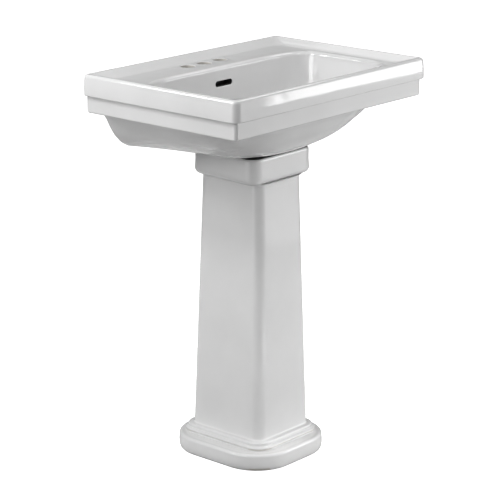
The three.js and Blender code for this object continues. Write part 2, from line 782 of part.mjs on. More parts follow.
function floorWasher(side) {
  const { x, y, radius } = FLOOR_SCREW;
  const low = FLOOR_LEDGE.thickness + GAP;
  return sleeve(FLOOR_WASHER.radius, radius + GAP, side * x, y, low, low + FLOOR_WASHER.thickness, 24);
}

// ---- Assembly ----

const china = { color: 0xf2f2f0, roughness: 0.12, metalness: 0 };
const chrome = { color: 0xd0d2d4, roughness: 0.12, metalness: 1 };
const brass = { color: 0xb9974f, roughness: 0.35, metalness: 1 };
const rubber = { color: 0x202020, roughness: 0.8, metalness: 0 };
const nylon = { color: 0xe6e4dc, roughness: 0.5, metalness: 0 };
const steel = { color: 0x9a9c9e, roughness: 0.35, metalness: 1 };

const sink = new THREE.Group();

function place(name, body, finish) {
  const mesh = new THREE.Mesh(geometryOf(body), new THREE.MeshStandardMaterial(finish));
  mesh.name = name;
  sink.add(mesh);
}

place("basin", basin(), china);
place("pedestal", pedestal(), china);
place("pad_front_left", pad(-1, PAD.front), rubber);
place("pad_front_right", pad(1, PAD.front), rubber);
place("pad_back_left", pad(-1, PAD.back), rubber);
place("pad_back_right", pad(1, PAD.back), rubber);

place("drain_body", drainBody(), chrome);
place("flange_seal", flangeSeal(), rubber);
place("basin_gasket", basinGasket(), rubber);
place("friction_washer", frictionWasher(), nylon);
place("drain_locknut", drainLocknut(), brass);
place("stopper_guide", stopperGuide(), brass);
place("stopper_cap", stopperCap(), chrome);
place("stopper_seal", stopperSeal(), rubber);
place("stopper_stem", stopperStem(), brass);
place("stopper_spring", stopperSpring(), steel);

place("tailpiece", tailpiece(), chrome);
place("tailpiece_nut", tailpieceNut(), chrome);
place("tailpiece_seal", tailpieceSeal(), rubber);
place("trap_bend", trapBend(), chrome);
place("trap_inlet_nut", slipNut(DRAIN_Y), chrome);
place("trap_inlet_washer", slipWasher(DRAIN_Y), nylon);
place("trap_outlet_nut", slipNut(OUTLET_Y), chrome);
place("trap_outlet_washer", slipWasher(OUTLET_Y), nylon);
place("trap_arm", trapArm(), chrome);
place("cleanout_plug", cleanoutPlug(), chrome);
place("cleanout_seal", cleanoutSeal(), rubber);

for (const [label, side] of [["left", -1], ["right", 1]]) {
  place(`wall_stud_${label}`, wallStud(side), steel);
  place(`wall_washer_${label}`, wallWasher(side), steel);
  place(`wall_nut_${label}`, wallNut(side), steel);
  place(`floor_screw_${label}`, floorScrew(side), steel);
  place(`floor_washer_${label}`, floorWasher(side), nylon);
}

export default sink;
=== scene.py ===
import json
import math
from functools import partial
import bpy
import numpy as np
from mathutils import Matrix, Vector


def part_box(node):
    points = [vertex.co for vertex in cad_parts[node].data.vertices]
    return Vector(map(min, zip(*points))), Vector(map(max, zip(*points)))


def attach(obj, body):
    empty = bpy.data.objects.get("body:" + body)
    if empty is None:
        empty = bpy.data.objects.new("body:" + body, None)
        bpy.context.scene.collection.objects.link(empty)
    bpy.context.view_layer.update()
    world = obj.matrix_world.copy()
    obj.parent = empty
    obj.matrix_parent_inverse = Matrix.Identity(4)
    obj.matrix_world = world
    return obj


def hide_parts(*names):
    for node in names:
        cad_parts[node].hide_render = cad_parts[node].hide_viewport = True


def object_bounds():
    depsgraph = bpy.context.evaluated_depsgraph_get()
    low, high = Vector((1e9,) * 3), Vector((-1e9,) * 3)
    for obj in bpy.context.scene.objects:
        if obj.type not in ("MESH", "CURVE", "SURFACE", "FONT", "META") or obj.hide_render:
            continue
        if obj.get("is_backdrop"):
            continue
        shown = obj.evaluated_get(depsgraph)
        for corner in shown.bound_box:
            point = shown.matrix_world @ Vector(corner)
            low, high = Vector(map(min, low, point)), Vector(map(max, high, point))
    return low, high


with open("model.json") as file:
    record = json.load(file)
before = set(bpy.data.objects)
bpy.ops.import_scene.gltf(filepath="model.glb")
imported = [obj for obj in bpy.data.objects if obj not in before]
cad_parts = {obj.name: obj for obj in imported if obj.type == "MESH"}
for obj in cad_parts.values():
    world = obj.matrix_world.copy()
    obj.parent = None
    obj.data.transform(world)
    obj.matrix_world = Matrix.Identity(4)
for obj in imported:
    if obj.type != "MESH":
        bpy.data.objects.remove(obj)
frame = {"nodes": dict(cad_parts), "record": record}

# Looks of a white china pedestal sink around its CAD frame. Every piece but the spring is rebuilt as a fine
# mesh. Shapes are worked out in millimetres, and mesh_object turns them into metres.

cad_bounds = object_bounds()
MM = 0.001
FIXED = "sink"


def box_mm(node):
    """Lowest and highest corner of a CAD node, in millimetres."""
    low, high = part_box(node)
    return np.array(low) / MM, np.array(high) / MM


def size_of(node):
    """Middle, size, lowest and highest corner of a CAD node, in millimetres."""
    low, high = box_mm(node)
    return (low + high) / 2, high - low, low, high


def towards(azimuth, elevation):
    """Direction of a light or the camera, in degrees; azimuth 0 is the front and 90 the right."""
    azimuth, elevation = math.radians(azimuth), math.radians(elevation)
    return Vector((
        math.sin(azimuth) * math.cos(elevation),
        -math.cos(azimuth) * math.cos(elevation),
        math.sin(elevation),
    ))


# ---- Meshes ----


def mesh_object(name, points, faces):
    """Object in the scene from points in millimetres."""
    mesh = bpy.data.meshes.new(name)
    mesh.from_pydata((np.asarray(points) * MM).tolist(), [], faces)
    mesh.update()
    piece = bpy.data.objects.new(name, mesh)
    bpy.context.scene.collection.objects.link(piece)
    return piece


def loft(name, rings, closed=False):
    """Skin over rings of equal length; the two ends are capped unless it closes on itself."""
    count = len(rings[0])
    points = np.concatenate(rings)
    faces = []
    levels = len(rings)
    for level in range(levels if closed else levels - 1):
        low = level * count
        high = (level + 1) % levels * count
        for i in range(count):
            j = (i + 1) % count
            faces.append((low + i, low + j, high + j, high + i))
    if not closed:
        faces.append(tuple(range(count - 1, -1, -1)))
        faces.append(tuple(range((levels - 1) * count, levels * count)))
    return mesh_object(name, points, faces)


def combine(target, operation, other):
    """Joins or cuts target with other, which is used up."""
    modifier = target.modifiers.new("combine", "BOOLEAN")
    modifier.operation = operation
    modifier.object = other
    modifier.solver = "MANIFOLD"
    depsgraph = bpy.context.evaluated_depsgraph_get()
    mesh = bpy.data.meshes.new_from_object(target.evaluated_get(depsgraph))
    target.modifiers.clear()
    target.data = mesh
    bpy.data.objects.remove(other)
    return target


def cut(target, *cutters):
    """Takes the cutters, which are used up, out of target."""
    for cutter in cutters:
        combine(target, "DIFFERENCE", cutter)
    return target


def shade(piece, crease_degrees=32):
    """Smooth shading, with edges sharper than the crease left sharp."""
    for polygon in piece.data.polygons:
        polygon.use_smooth = True
    piece.data.set_sharp_from_angle(angle=math.radians(crease_degrees))
    return piece


def block(name, low, high):
    """Box between two corners."""
    (x0, y0, z0), (x1, y1, z1) = low, high
    ring = [(x0, y0), (x1, y0), (x1, y1), (x0, y1)]
    return loft(name, [np.array([(x, y, z) for x, y in ring]) for z in (z0, z1)])


# ---- Outlines in plan ----

CORNER_STEPS = 24
SIDE_STEPS = 28


def four_corners(quarters, y_middle, bulge):
    """Closed ring from the points of a back and a front corner; bulge keeps the sides on their curve."""
    back, front = quarters
    corners = [back, back[::-1] * (-1, 1), front * (-1, -1), front[::-1] * (1, -1)]
    points = []
    for index, corner in enumerate(corners):
        points.extend(corner)
        start = corner[-1]
        end = corners[(index + 1) % 4][0]
        for step in range(1, SIDE_STEPS):
            share = step / SIDE_STEPS
            x, y = start + (end - start) * share
            points.append(bulge(x, y, index % 2 == 0))
    ring = np.array(points)
    ring[:, 1] += y_middle
    return ring


def rounded_rectangle(half_width, back, front, corner, back_corner=None):
    """Outline with straight sides; its back corners can have a radius of their own."""
    half_depth = (back - front) / 2
    angles = np.radians(np.linspace(0, 90, CORNER_STEPS + 1))
    quarters = []
    for radius in (corner if back_corner is None else back_corner, corner):
        x = half_width - radius + radius * np.cos(angles)
        y = half_depth - radius + radius * np.sin(angles)
        quarters.append(np.stack([x, y], 1))
    return four_corners(quarters, (back + front) / 2, lambda x, y, along_x: (x, y))


def superellipse(half_width, back, front, power):
    """Outline with bulging sides. Its corner points are spread evenly by the direction that it faces."""
    half_depth = (back - front) / 2
    faces = np.radians(np.linspace(7, 83, CORNER_STEPS + 1))
    u = half_width * np.cos(faces)
    v = half_depth * np.sin(faces)
    size = (u ** (power / (power - 1)) + v ** (power / (power - 1))) ** (1 / power)
    x = half_width * u ** (1 / (power - 1)) / size
    y = half_depth * v ** (1 / (power - 1)) / size

    def bulge(x, y, along_x):
        if along_x:
            return x, math.copysign(half_depth * (1 - abs(x / half_width) ** power) ** (1 / power), y)
        return math.copysign(half_width * (1 - abs(y / half_depth) ** power) ** (1 / power), x), y

    return four_corners([np.stack([x, y], 1)] * 2, (back + front) / 2, bulge)


def at_height(outline, z):
    """Ring at one height from an outline in plan."""
    return np.column_stack([outline, np.full(len(outline), float(z))])


def round_ring(radius, x, y, z, sides=64):
    """Level circle."""
    angles = np.linspace(0, 2 * math.pi, sides, endpoint=False)
    outline = np.column_stack([x + radius * np.cos(angles), y + radius * np.sin(angles)])
    return at_height(outline, z)


def smooth_rows(keys, steps):
    """Catmull-Rom curve through rows of numbers."""
    keys = np.array(keys, float)
    padded = np.vstack([2 * keys[0] - keys[1], keys, 2 * keys[-1] - keys[-2]])
    rows = []
    for i in range(1, len(padded) - 2):
        a, b, c, d = padded[i - 1 : i + 3]
        for t in np.linspace(0, 1, steps, endpoint=False):
            bend = 2 * a - 5 * b + 4 * c - d
            twist = 3 * b - a - 3 * c + d
            rows.append(0.5 * (2 * b + (c - a) * t + bend * t**2 + twist * t**3))
    rows.append(padded[-2])
    return np.array(rows)


def arc(centre, radius, start, end, steps=6):
    """Points of an arc in a profile, angles in degrees."""
    angles = np.radians(np.linspace(start, end, steps + 1))
    return [(centre[0] + radius * math.cos(a), centre[1] + radius * math.sin(a)) for a in angles]


# ---- Basin ----

basin_low, basin_high = box_mm("basin")
RIM_HALF = basin_high[0]
RIM_BACK = basin_high[1]
RIM_FRONT = basin_low[1]
RIM_TOP = basin_high[2]
BELLY_Z = basin_low[2]
RIM_CORNER = 16
BACK_CORNER = 8
UPPER_BAND = 44.5
LOWER_BAND = 36.5
BAND_STEP = 8.5
APRON_WALL = 13
# The upper band's face leans in by the tilt, in degrees, before it turns over the lip
BAND_TILT = 9
LIP_RADIUS = 7.5
BACK_LIP_RADIUS = 5
DECK_Z = RIM_TOP - 13
DECK_UNDER = DECK_Z - 17
STEP_Z = RIM_TOP - UPPER_BAND
LIP_DROP = LIP_RADIUS * (1 - math.sin(math.radians(BAND_TILT)))
BAND_CURVE = (UPPER_BAND - 14 - LIP_DROP) / math.sin(math.radians(BAND_TILT))
APRON_Z = STEP_Z - LOWER_BAND
BOWL_SKIN = 7
CHINA_WALL = 13
HULL_WAIST_Y = 20
BORDER_FOOT_HALF = 266.5
BORDER_FOOT_FRONT = -167
BORDER_FOOT_CORNER = 30
BORDER_FOOT_TO_BACK = 40
DRAIN_Y = float(sum(corner[1] for corner in box_mm("stopper_cap")) / 2)
DRAIN_HOLE = 23
DRAIN_SEAT = 33
DRAIN_SEAT_Z = 699
FAUCET_SPACING = 50.8
FAUCET_HOLES = (-FAUCET_SPACING, 0, FAUCET_SPACING)
FAUCET_HOLE = 15.5
FAUCET_HOLE_EDGE = 1.6
FAUCET_LINE_Y = RIM_BACK - 57.5
OVERFLOW_Z = RIM_TOP - 49
OVERFLOW_HALF = 20
OVERFLOW_RADIUS = 5.6
OVERFLOW_WALL_Y = 95.6
OVERFLOW_FLARE = 3
DUCT_FRONT = 107
DUCT_BACK = 118
WALL_BOLT_X = 112
WALL_BOLT_Z = 748
WALL_BOLT_HOLE = 6.5
WALL_BOLT_HOLE_FRONT = 180.0

# Half width, back edge, front edge and squareness where the bowl meets its rounded edge
BOWL_EDGE = (254, 98, -154, 6)
BOWL_EDGE_RADIUS = 9

# Height, half width, back edge, front edge and squareness, from under the lip to the middle of the floor
BOWL = [
    (DECK_Z - BOWL_EDGE_RADIUS, *BOWL_EDGE),
    (800, 246, 95.5, -148, 5.6),
    (773, 240, 93, -143, 5),
    (750, 230, 90, -134, 4.3),
    (731, 213, 84, -122, 3.6),
    (717, 188, 74, -109, 3),
    (708, 155, 59, -92, 2.6),
    (703.5, 112, 38, -71, 2.3),
    (702, 70, 17, -51, 2.1),
    (701.6, 34, -1, -35, 2),
]

# Height, half width at the waist, half width at the wall, front edge and squareness of the hull
HULL = [
    (BELLY_Z, 112, 168, -63, 2.3),
    (BELLY_Z + 1, 130, 178, -77, 2.35),
    (681.5, 143, 184.5, -89.5, 2.4),
    (689, 164, 198, -104, 2.5),
    (697, 184, 207.5, -117, 2.7),
    (710, 206, 220, -131.5, 2.9),
    (727, 225, 231.5, -145, 3.2),
    (746, 240, 242, -154, 3.6),
    (APRON_Z, 256, 256, -165, 4.5),
    (826, 270, 272, -176, 5),
]


def rim_ring(inset, back_inset, z):
    """Outline of the whole basin, set in by one amount at the front and sides and another at the back."""
    outline = rounded_rectangle(
        RIM_HALF - inset,
        RIM_BACK - back_inset,
        RIM_FRONT + inset,
        max(RIM_CORNER - inset, 3),
        max(BACK_CORNER - back_inset, 2.5),
    )
    return at_height(outline, z)


def lip_inset():
    """How far the top of the lip is set in from the outermost edge, at the front and sides."""
    tilt = math.radians(BAND_TILT)
    return BAND_CURVE * (1 - math.cos(tilt)) + LIP_RADIUS * math.cos(tilt)


def rim_profile():
    """Front inset, back inset and height, from under the rim, round both bands and over the lip."""
    inner = BAND_STEP + APRON_WALL
    lip_x = lip_inset()
    below = [
        (inner + 4, DECK_UNDER),
        *arc((inner + 3, DECK_UNDER - 3), 3, 90, 180, 4),
        *arc((inner - 4, APRON_Z + 4), 4, 0, -90, 5),
        *arc((BAND_STEP + 4, APRON_Z + 4), 4, -90, -180, 6),
        *arc((BAND_STEP - 1.5, STEP_Z - 1.5), 1.5, 0, 90, 4),
        *arc((2.5, STEP_Z + 2.5), 2.5, -90, -180, 5),
    ]
    face = [
        *arc((BAND_CURVE, STEP_Z + 14), BAND_CURVE, 180, 180 - BAND_TILT, 6),
        *arc((lip_x, RIM_TOP - LIP_RADIUS), LIP_RADIUS, 180 - BAND_TILT, 90, 12)[1:],
    ]
    rows = [(inset, max(inset - BAND_STEP, 0), z) for inset, z in below]
    for inset, z in face:
        rise = max(z - (RIM_TOP - BACK_LIP_RADIUS), 0)
        rows.append((inset, BACK_LIP_RADIUS - math.sqrt(max(BACK_LIP_RADIUS**2 - rise**2, 0)), z))
    over = arc((lip_x + 1.5, RIM_TOP - 3), 3, 90, 66, 4)
    return rows + [(inset, inset - lip_x + BACK_LIP_RADIUS, z) for inset, z in over]


def slope_rings():
    """From the inside of the lip down the sloped border to the edge of the flat deck."""
    inset, back_inset, lip_z = rim_profile()[-1]
    start = np.array([RIM_HALF - inset, RIM_BACK - back_inset, RIM_FRONT + inset, 5])
    foot_back = RIM_BACK - BORDER_FOOT_TO_BACK
    foot = np.array([BORDER_FOOT_HALF, foot_back, BORDER_FOOT_FRONT, BORDER_FOOT_CORNER])
    # Shares of the way across and of the way down
    slope = [(0.12, 0.14), (0.3, 0.36), (0.5, 0.59), (0.68, 0.78), (0.82, 0.905), (0.92, 0.97), (1, 1)]
    rings = []
    for across, down in slope:
        outline = rounded_rectangle(*(start + (foot - start) * across))
        rings.append(at_height(outline, lip_z + (DECK_Z - lip_z) * down))
    return rings


def bowl_ring(half, back, front, power, grow, z):
    """Outline of the bowl at a height, made larger by grow."""
    return at_height(superellipse(half + grow, back + grow, front - grow, power), z)


def lip_rings():
    """From the deck over the rounded edge of the bowl."""
    radius = BOWL_EDGE_RADIUS
    edge = arc((0, DECK_Z - radius), radius, 90, 8, 9)
    return [bowl_ring(*BOWL_EDGE, radius - out, z) for out, z in edge]


def bowl_rings(grow=0, drop=0):
    """The bowl from its edge down, or a larger and lower copy of it."""
    return [bowl_ring(*shape, grow, z - drop) for z, *shape in smooth_rows(BOWL, 5)]


def basin_top():
    """Rim, deck and bowl as one skin of china, hollow underneath."""
    under = [ring for ring in bowl_rings(BOWL_SKIN, BOWL_SKIN + 1)[::-1] if ring[0, 2] < DECK_UNDER - 4]
    under.append(bowl_ring(*BOWL_EDGE, BOWL_SKIN, DECK_UNDER))
    rim = [rim_ring(*row) for row in rim_profile()]
    return loft("basin_top", under + rim + slope_rings() + lip_rings() + bowl_rings())


def hull_ring(z, waist, wall, front, power):
    """Straight back against the wall, sides that close in, and a round front."""
    corner = 5
    sides = []
    for share in np.linspace(0, 1, 22):
        y = HULL_WAIST_Y + (RIM_BACK - corner - HULL_WAIST_Y) * share
        sides.append((waist + (wall - waist) * share**1.5, y))
    for x, y in arc((wall - corner, RIM_BACK - corner), corner, 15, 90, 4):
        sides.append((x, y))
    mirrored = [(-x, y) for x, y in sides[::-1]]
    fronts = []
    for face in np.radians(np.linspace(180, 360, 72)[1:-1]):
        u = waist * abs(math.cos(face))
        v = (HULL_WAIST_Y - front) * abs(math.sin(face))
        size = (u ** (power / (power - 1)) + v ** (power / (power - 1))) ** (1 / power)
        x = math.copysign(waist * u ** (1 / (power - 1)) / size, math.cos(face))
        fronts.append((x, HULL_WAIST_Y - (HULL_WAIST_Y - front) * v ** (1 / (power - 1)) / size))
    return at_height(np.array(sides + mirrored + fronts), z)


def between(rows, z, column):
    """Value of one column of rows at a height between them."""
    ordered = sorted(rows)
    return float(np.interp(z, [row[0] for row in ordered], [row[column] for row in ordered]))


def service_recess():
    """Open space behind the bowl, under the faucet deck."""
    rings = []
    back = RIM_BACK - CHINA_WALL
    for z in np.linspace(BELLY_Z - 5, DECK_UNDER, 26):
        front = max(between(BOWL, z, 2), 66) + CHINA_WALL
        x_front = between(HULL, z, 1) - CHINA_WALL
        x_back = between(HULL, z, 2) - CHINA_WALL
        corners = [(x_front, front), (x_back, back), (-x_back, back), (-x_front, front)]
        rings.append(at_height(np.array(corners), z))
    recess = loft("recess", rings)
    return cut(recess, block("boss", (-34, 0, BELLY_Z - 9), (34, 128, RIM_TOP)))


def faucet_hole(x):
    """Cutter that flares at the deck, so that the hole gets a rounded edge."""
    radius, round_over = FAUCET_HOLE, FAUCET_HOLE_EDGE
    flare = arc((radius + round_over, DECK_Z - round_over), round_over, 180, 96, 7)
    profile = [(radius, DECK_UNDER - 8), *flare, (radius + round_over, DECK_Z + 6)]
    return loft("faucet_hole", [round_ring(r, x, FAUCET_LINE_Y, z) for r, z in profile])


def overflow_slot():
    """Oblong cutter along Y that flares where it leaves the bowl's back wall."""
    sides = 48
    angles = np.linspace(0, 2 * math.pi, sides, endpoint=False) + math.pi / sides
    flare = arc((OVERFLOW_FLARE, OVERFLOW_WALL_Y + 2.6), OVERFLOW_FLARE, 262, 180, 6)
    rings = []
    for grow, y in [(OVERFLOW_FLARE, OVERFLOW_WALL_Y - 11.6), *flare, (0, DUCT_FRONT + 3)]:
        x = np.sign(np.cos(angles)) * OVERFLOW_HALF + (OVERFLOW_RADIUS + grow) * np.cos(angles)
        z = OVERFLOW_Z + (OVERFLOW_RADIUS + grow) * np.sin(angles)
        rings.append(np.column_stack([x, np.full(sides, float(y)), z]))
    return loft("overflow_slot", rings[::-1])


def wall_bolt_hole(x):
    """Cutter along Y, through the basin's back wall."""
    sides = 32
    circle = round_ring(WALL_BOLT_HOLE, x, WALL_BOLT_Z, 0, sides)
    rings = []
    for y in (RIM_BACK + 2, WALL_BOLT_HOLE_FRONT):
        rings.append(np.column_stack([circle[:, 0], np.full(sides, y), circle[:, 1]]))
    return loft("bolt_hole", rings)


def basin():
    hull = loft("hull", [hull_ring(*row) for row in smooth_rows(HULL, 5)])
    half_skin = BOWL_SKIN / 2
    middle = loft("middle", [*bowl_rings(half_skin, half_skin)[::-1], bowl_ring(*BOWL_EDGE, 4, RIM_TOP)])
    cut(hull, middle, service_recess())
    china = combine(basin_top(), "UNION", hull)
    cut(
        china,
        block("duct", (-24, DUCT_FRONT, 685), (24, DUCT_BACK, OVERFLOW_Z + 12)),
        block("duct_foot", (-19, DRAIN_Y, 685), (19, DUCT_BACK, 694)),
        overflow_slot(),
        *[faucet_hole(x) for x in FAUCET_HOLES],
        *[wall_bolt_hole(x) for x in (-WALL_BOLT_X, WALL_BOLT_X)],
        bore(0, DRAIN_Y, (DRAIN_HOLE, BELLY_Z - 5, 710)),
        bore(0, DRAIN_Y, (DRAIN_SEAT, DRAIN_SEAT_Z, 712)),
    )
    china.name = "china_basin"
    return shade(china)


# ---- Pedestal ----

pedestal_low, pedestal_high = box_mm("pedestal")
PEDESTAL_TOP = pedestal_high[2]
PEDESTAL_WALL = 14
PEDESTAL_FRONT_WALL = 11
CAP_Z = PEDESTAL_TOP - 57
FOOT_Z = 57
BASE_FRONT = pedestal_low[1]
BASE_BACK = pedestal_high[1]

FLOOR_SCREW_X = 44
FLOOR_SCREW_Y = 86
FLOOR_SCREW_HOLE = 5.5
LEDGE_TOP = 14

# Half width, front, back, corner radius, and the share of its width that a section loses for each
# millimetre towards the wall
BASE = (pedestal_high[0], BASE_FRONT, BASE_BACK, 90, 0)
COLUMN_FOOT = (85.5, BASE_FRONT + 43.5, BASE_BACK - 42, 24, 0)
COLUMN_TOP = (71, BASE_FRONT + 57, BASE_BACK - 59.5, 22, 0)
CAP = (90.5, BASE_FRONT + 49.5, BASE_BACK - 45, 28, 0.001)


def plan(section, z, grow=0.0, corner_grow=None):
    """Ring of a section at a height, made larger or smaller by grow."""
    half_width, front, back, corner, taper = section
    corner_grow = grow if corner_grow is None else corner_grow
    outline = rounded_rectangle(half_width + grow, back + grow, front - grow, max(corner + corner_grow, 2))
    outline[:, 0] *= 1 - taper * (outline[:, 1] - (front + back) / 2)
    return at_height(outline, z)


def pedestal_outside():
    foot = COLUMN_FOOT
    slab = [(-7.5, 0), (-4.5, 1.2), (-2.2, 3.5), (-0.8, 7.5), (-0.2, 12), (0, 18), (-0.2, 24), (-0.7, 29)]
    slab += arc((-7.4, 31), 6.6, 4, 80, 8)
    slab += [(-9, 37.6), (-12, 37.2), (-15, 38)]
    rings = [plan(BASE, z, grow) for grow, z in slab]
    tier = [(16.8, 39.2), (16.4, 41), *arc((15, 45), 3, -50, 70, 6)]
    tier += [(14.6, 48.3), (13, 49.2), (12.2, 51), *arc((8.6, 53), 3.9, 0, 76, 6), (7.4, 57)]
    rings += [plan(foot, z, grow, grow * 0.8) for grow, z in tier]
    rings += [plan(foot, z, grow) for grow, z in arc((4, FOOT_Z + 4.2), 4, 262, 180, 6)]
    for share in np.linspace(0.04, 0.98, 24):
        size = [a + (b - a) * share for a, b in zip(foot, COLUMN_TOP)]
        rings.append(plan(size, FOOT_Z + 4 + (CAP_Z - 7 - FOOT_Z) * share))
    rings += [plan(COLUMN_TOP, z, grow) for grow, z in arc((6, CAP_Z - 6), 6, 180, 97, 6)]
    rings += [plan(CAP, z, grow) for grow, z in arc((-12, CAP_Z + 13.5), 13.5, 272, 350, 10)]
    rings += [plan(CAP, z, grow) for grow, z in [(0.6, CAP_Z + 20), (0, CAP_Z + 30), (0, PEDESTAL_TOP - 9)]]
    rings += [plan(CAP, z, grow) for grow, z in arc((-6.5, PEDESTAL_TOP - 6.5), 6.5, 0, 88, 8)]
    return loft("pedestal_outside", rings)


def thin_front(section):
    """The section moved forward at the front, where the column's wall is thinner."""
    half_width, front, *rest = section
    return (half_width, front - PEDESTAL_WALL + PEDESTAL_FRONT_WALL, *rest)


def pedestal_inside():
    wall = PEDESTAL_WALL
    foot = thin_front(COLUMN_FOOT)
    top = thin_front(COLUMN_TOP)
    rings = [
        plan(BASE, -1, -wall - 7, -wall - 14),
        plan(BASE, 22, -wall - 7, -wall - 14),
        plan(foot, 44, -wall + 2),
        plan(foot, FOOT_Z + 4, -wall),
        plan(top, CAP_Z, -wall),
        plan(top, PEDESTAL_TOP + 1, -wall + 2),
    ]
    return loft("pedestal_inside", rings)


def back_opening():
    """Opening up the back of the column and cap."""
    rings = []
    for half, z in [(48, 66), (52, 67.5), (55, 70.5), (56, 75), (48, PEDESTAL_TOP + 1)]:
        rings.append(at_height(rounded_rectangle(half, RIM_BACK, 58, 6), z))
    return loft("back_opening", rings)


def floor_ledge():
    """Plate across the back of the base that the floor screws go through."""
    plate = block("ledge", (-112, 40, 0), (112, BASE_BACK - PEDESTAL_WALL, LEDGE_TOP))
    inside = loft("ledge_limit", [plan(BASE, 0, -9), plan(BASE, 20, -9)])
    return combine(plate, "INTERSECT", inside)


def pedestal():
    china = pedestal_outside()
    cut(china, pedestal_inside(), back_opening())
    combine(china, "UNION", floor_ledge())
    for x in (-FLOOR_SCREW_X, FLOOR_SCREW_X):
        rings = [round_ring(FLOOR_SCREW_HOLE, x, FLOOR_SCREW_Y, z, 32) for z in (-1, LEDGE_TOP + 1)]
        cut(china, loft("screw_hole", rings))
    china.name = "china_pedestal"
    return shade(china)


# ---- Turned, threaded and bent hardware ----

# Radii of holes around what goes through them, and the wall of the thin tubes
AROUND_BARREL = 22.05
AROUND_COLLAR = 20.85
AROUND_TUBE = 16.25
NUT_AROUND_TUBE = 16.45
AROUND_STUD = 4.35
AROUND_SCREW = 3.85
AROUND_FLANGE_NECK = 24.1
AROUND_PLUG = 9.1
TUBE_WALL = 1.3


def turned(name, profile, x, y, sides=80):
    """Profile of radius and height, outer wall rising, turned about an upright axis that it may meet."""
    solid = profile[0][0] == 0
    rows = profile[1:-1] if solid else profile
    rings = [round_ring(radius, x, y, z, sides) for radius, z in rows]
    return loft(name, rings, closed=not solid)


def rounded_ring(name, inner, outer, low, high, x, y, edge=0.5, sides=80):
    """Ring with its four edges rounded."""
    profile = [
        *arc((inner + edge, low + edge), edge, 180, 270, 3),
        *arc((outer - edge, low + edge), edge, 270, 360, 3),
        *arc((outer - edge, high - edge), edge, 0, 90, 3),
        *arc((inner + edge, high - edge), edge, 90, 180, 3),
    ]
    return turned(name, profile, x, y, sides)


def threaded_rings(radius, depth, pitch, x, y, low, high, sides=60):
    """Rings up a screw thread whose crests reach the radius; the thread runs out at both ends."""
    angles = np.linspace(0, 2 * math.pi, sides, endpoint=False)
    rings = []
    for z in np.arange(low, high + 0.01, pitch / 5):
        turn = (z / pitch - angles / (2 * math.pi)) % 1
        ends = min((z - low) / pitch, (high - z) / pitch, 1)
        r = radius - depth * (1 - np.abs(turn * 2 - 1) * ends)
        rings.append(np.column_stack([x + r * np.cos(angles), y + r * np.sin(angles), np.full(sides, z)]))
    return rings


def hexagon(name, flats, x, y, low, high, chamfer=1.2):
    """Hexagonal bar with its corners turned off at both ends."""
    corner = flats / 2 / math.cos(math.pi / 6)
    angles = np.radians(np.arange(0, 360, 60))
    ring = np.column_stack([x + corner * np.sin(angles), y + corner * np.cos(angles)])[::-1]
    bar = loft(name, [at_height(ring, low), at_height(ring, high)])
    flat = flats / 2 - 0.3
    wide = corner + 0.3
    cone = [(0, low), (flat, low), (wide, low + chamfer), (wide, high - chamfer), (flat, high), (0, high)]
    return combine(bar, "INTERSECT", turned("cone", cone, x, y))


def bore(x, y, *steps):
    """Upright cutter of round steps, each a radius with the heights where it starts and ends."""
    rings = [round_ring(radius, x, y, z) for radius, low, high in steps for z in (low, high)]
    return loft("bore", rings)


def along_y(piece, x, y, z):
    """Lays a piece built upright on the origin along Y, with its foot at y and its axis at x and z."""
    for vertex in piece.data.vertices:
        px, py, pz = vertex.co
        vertex.co = (px + x * MM, pz + y * MM, z * MM - py)
    return piece


def tube_ring(middle, direction, radius):
    """Circle in the plane x = 0 around a middle and across a direction, both given as y and z."""
    angles = np.linspace(0, 2 * math.pi, 56, endpoint=False)
    across = np.array([direction[1], -direction[0]])
    yz = np.array(middle, float) + np.outer(radius * np.sin(angles), across)
    return np.column_stack([radius * np.cos(angles), yz])


def bent_tube(name, path, outers, inners):
    """Tube along a path of middles and directions in the plane x = 0."""
    outside = [tube_ring(*place, radius) for place, radius in zip(path, outers)]
    inside = [tube_ring(*place, radius) for place, radius in zip(path, inners)]
    return loft(name, outside + inside[::-1], closed=True)


def drain_body():
    _, size, low, high = size_of("drain_body")
    flange, top, foot = size[0] / 2, high[2], low[2]
    barrel, inside = flange - 10.5, flange - 14.5
    profile = [
        *arc((flange - 0.5, top - 2.3), 0.5, 270, 360, 3),
        *arc((flange - 4.5, top - 2.6), 4.5, 8, 62, 5),
        (flange - 4, top - 0.1),
        *arc((inside + 10, top - 9), 9, 84, 150, 7),
        (inside, top - 9),
        (inside, foot + 0.6),
        (inside + 0.6, foot),
        (barrel - 1.2, foot),
    ]
    flange_and_bore = [round_ring(radius, 0, DRAIN_Y, z, 60) for radius, z in profile]
    thread = threaded_rings(barrel, 0.8, 2.2, 0, DRAIN_Y, foot + 1, top - 22)
    neck = [round_ring(barrel - 0.1, 0, DRAIN_Y, z, 60) for z in (top - 21.5, top - 3.4)]
    neck.append(round_ring(barrel + 1.8, 0, DRAIN_Y, top - 2.8, 60))
    body = loft("china_waste", thread + neck + flange_and_bore, closed=True)
    return cut(body, block("ports", (-30, DRAIN_Y - 6, 686), (30, DRAIN_Y + 6, 693)))


def stopper_cap():
    _, size, low, high = size_of("stopper_cap")
    radius, foot, top = size[0] / 2, low[2], high[2]
    dome_radius = (radius - 2) ** 2 / (2 * (top - foot - 1.8))
    dome = [
        (r, top - dome_radius + math.sqrt(dome_radius**2 - r**2)) for r in np.linspace(radius - 2, 0.6, 14)
    ]
    under = [(0, foot + 1), (10, foot + 1), (12, foot), (radius - 0.9, foot)]
    edge = arc((radius - 0.9, foot + 0.9), 0.9, 300, 420, 6)
    return turned("cap", [*under, *edge, *dome, (0, top)], 0, DRAIN_Y, 96)


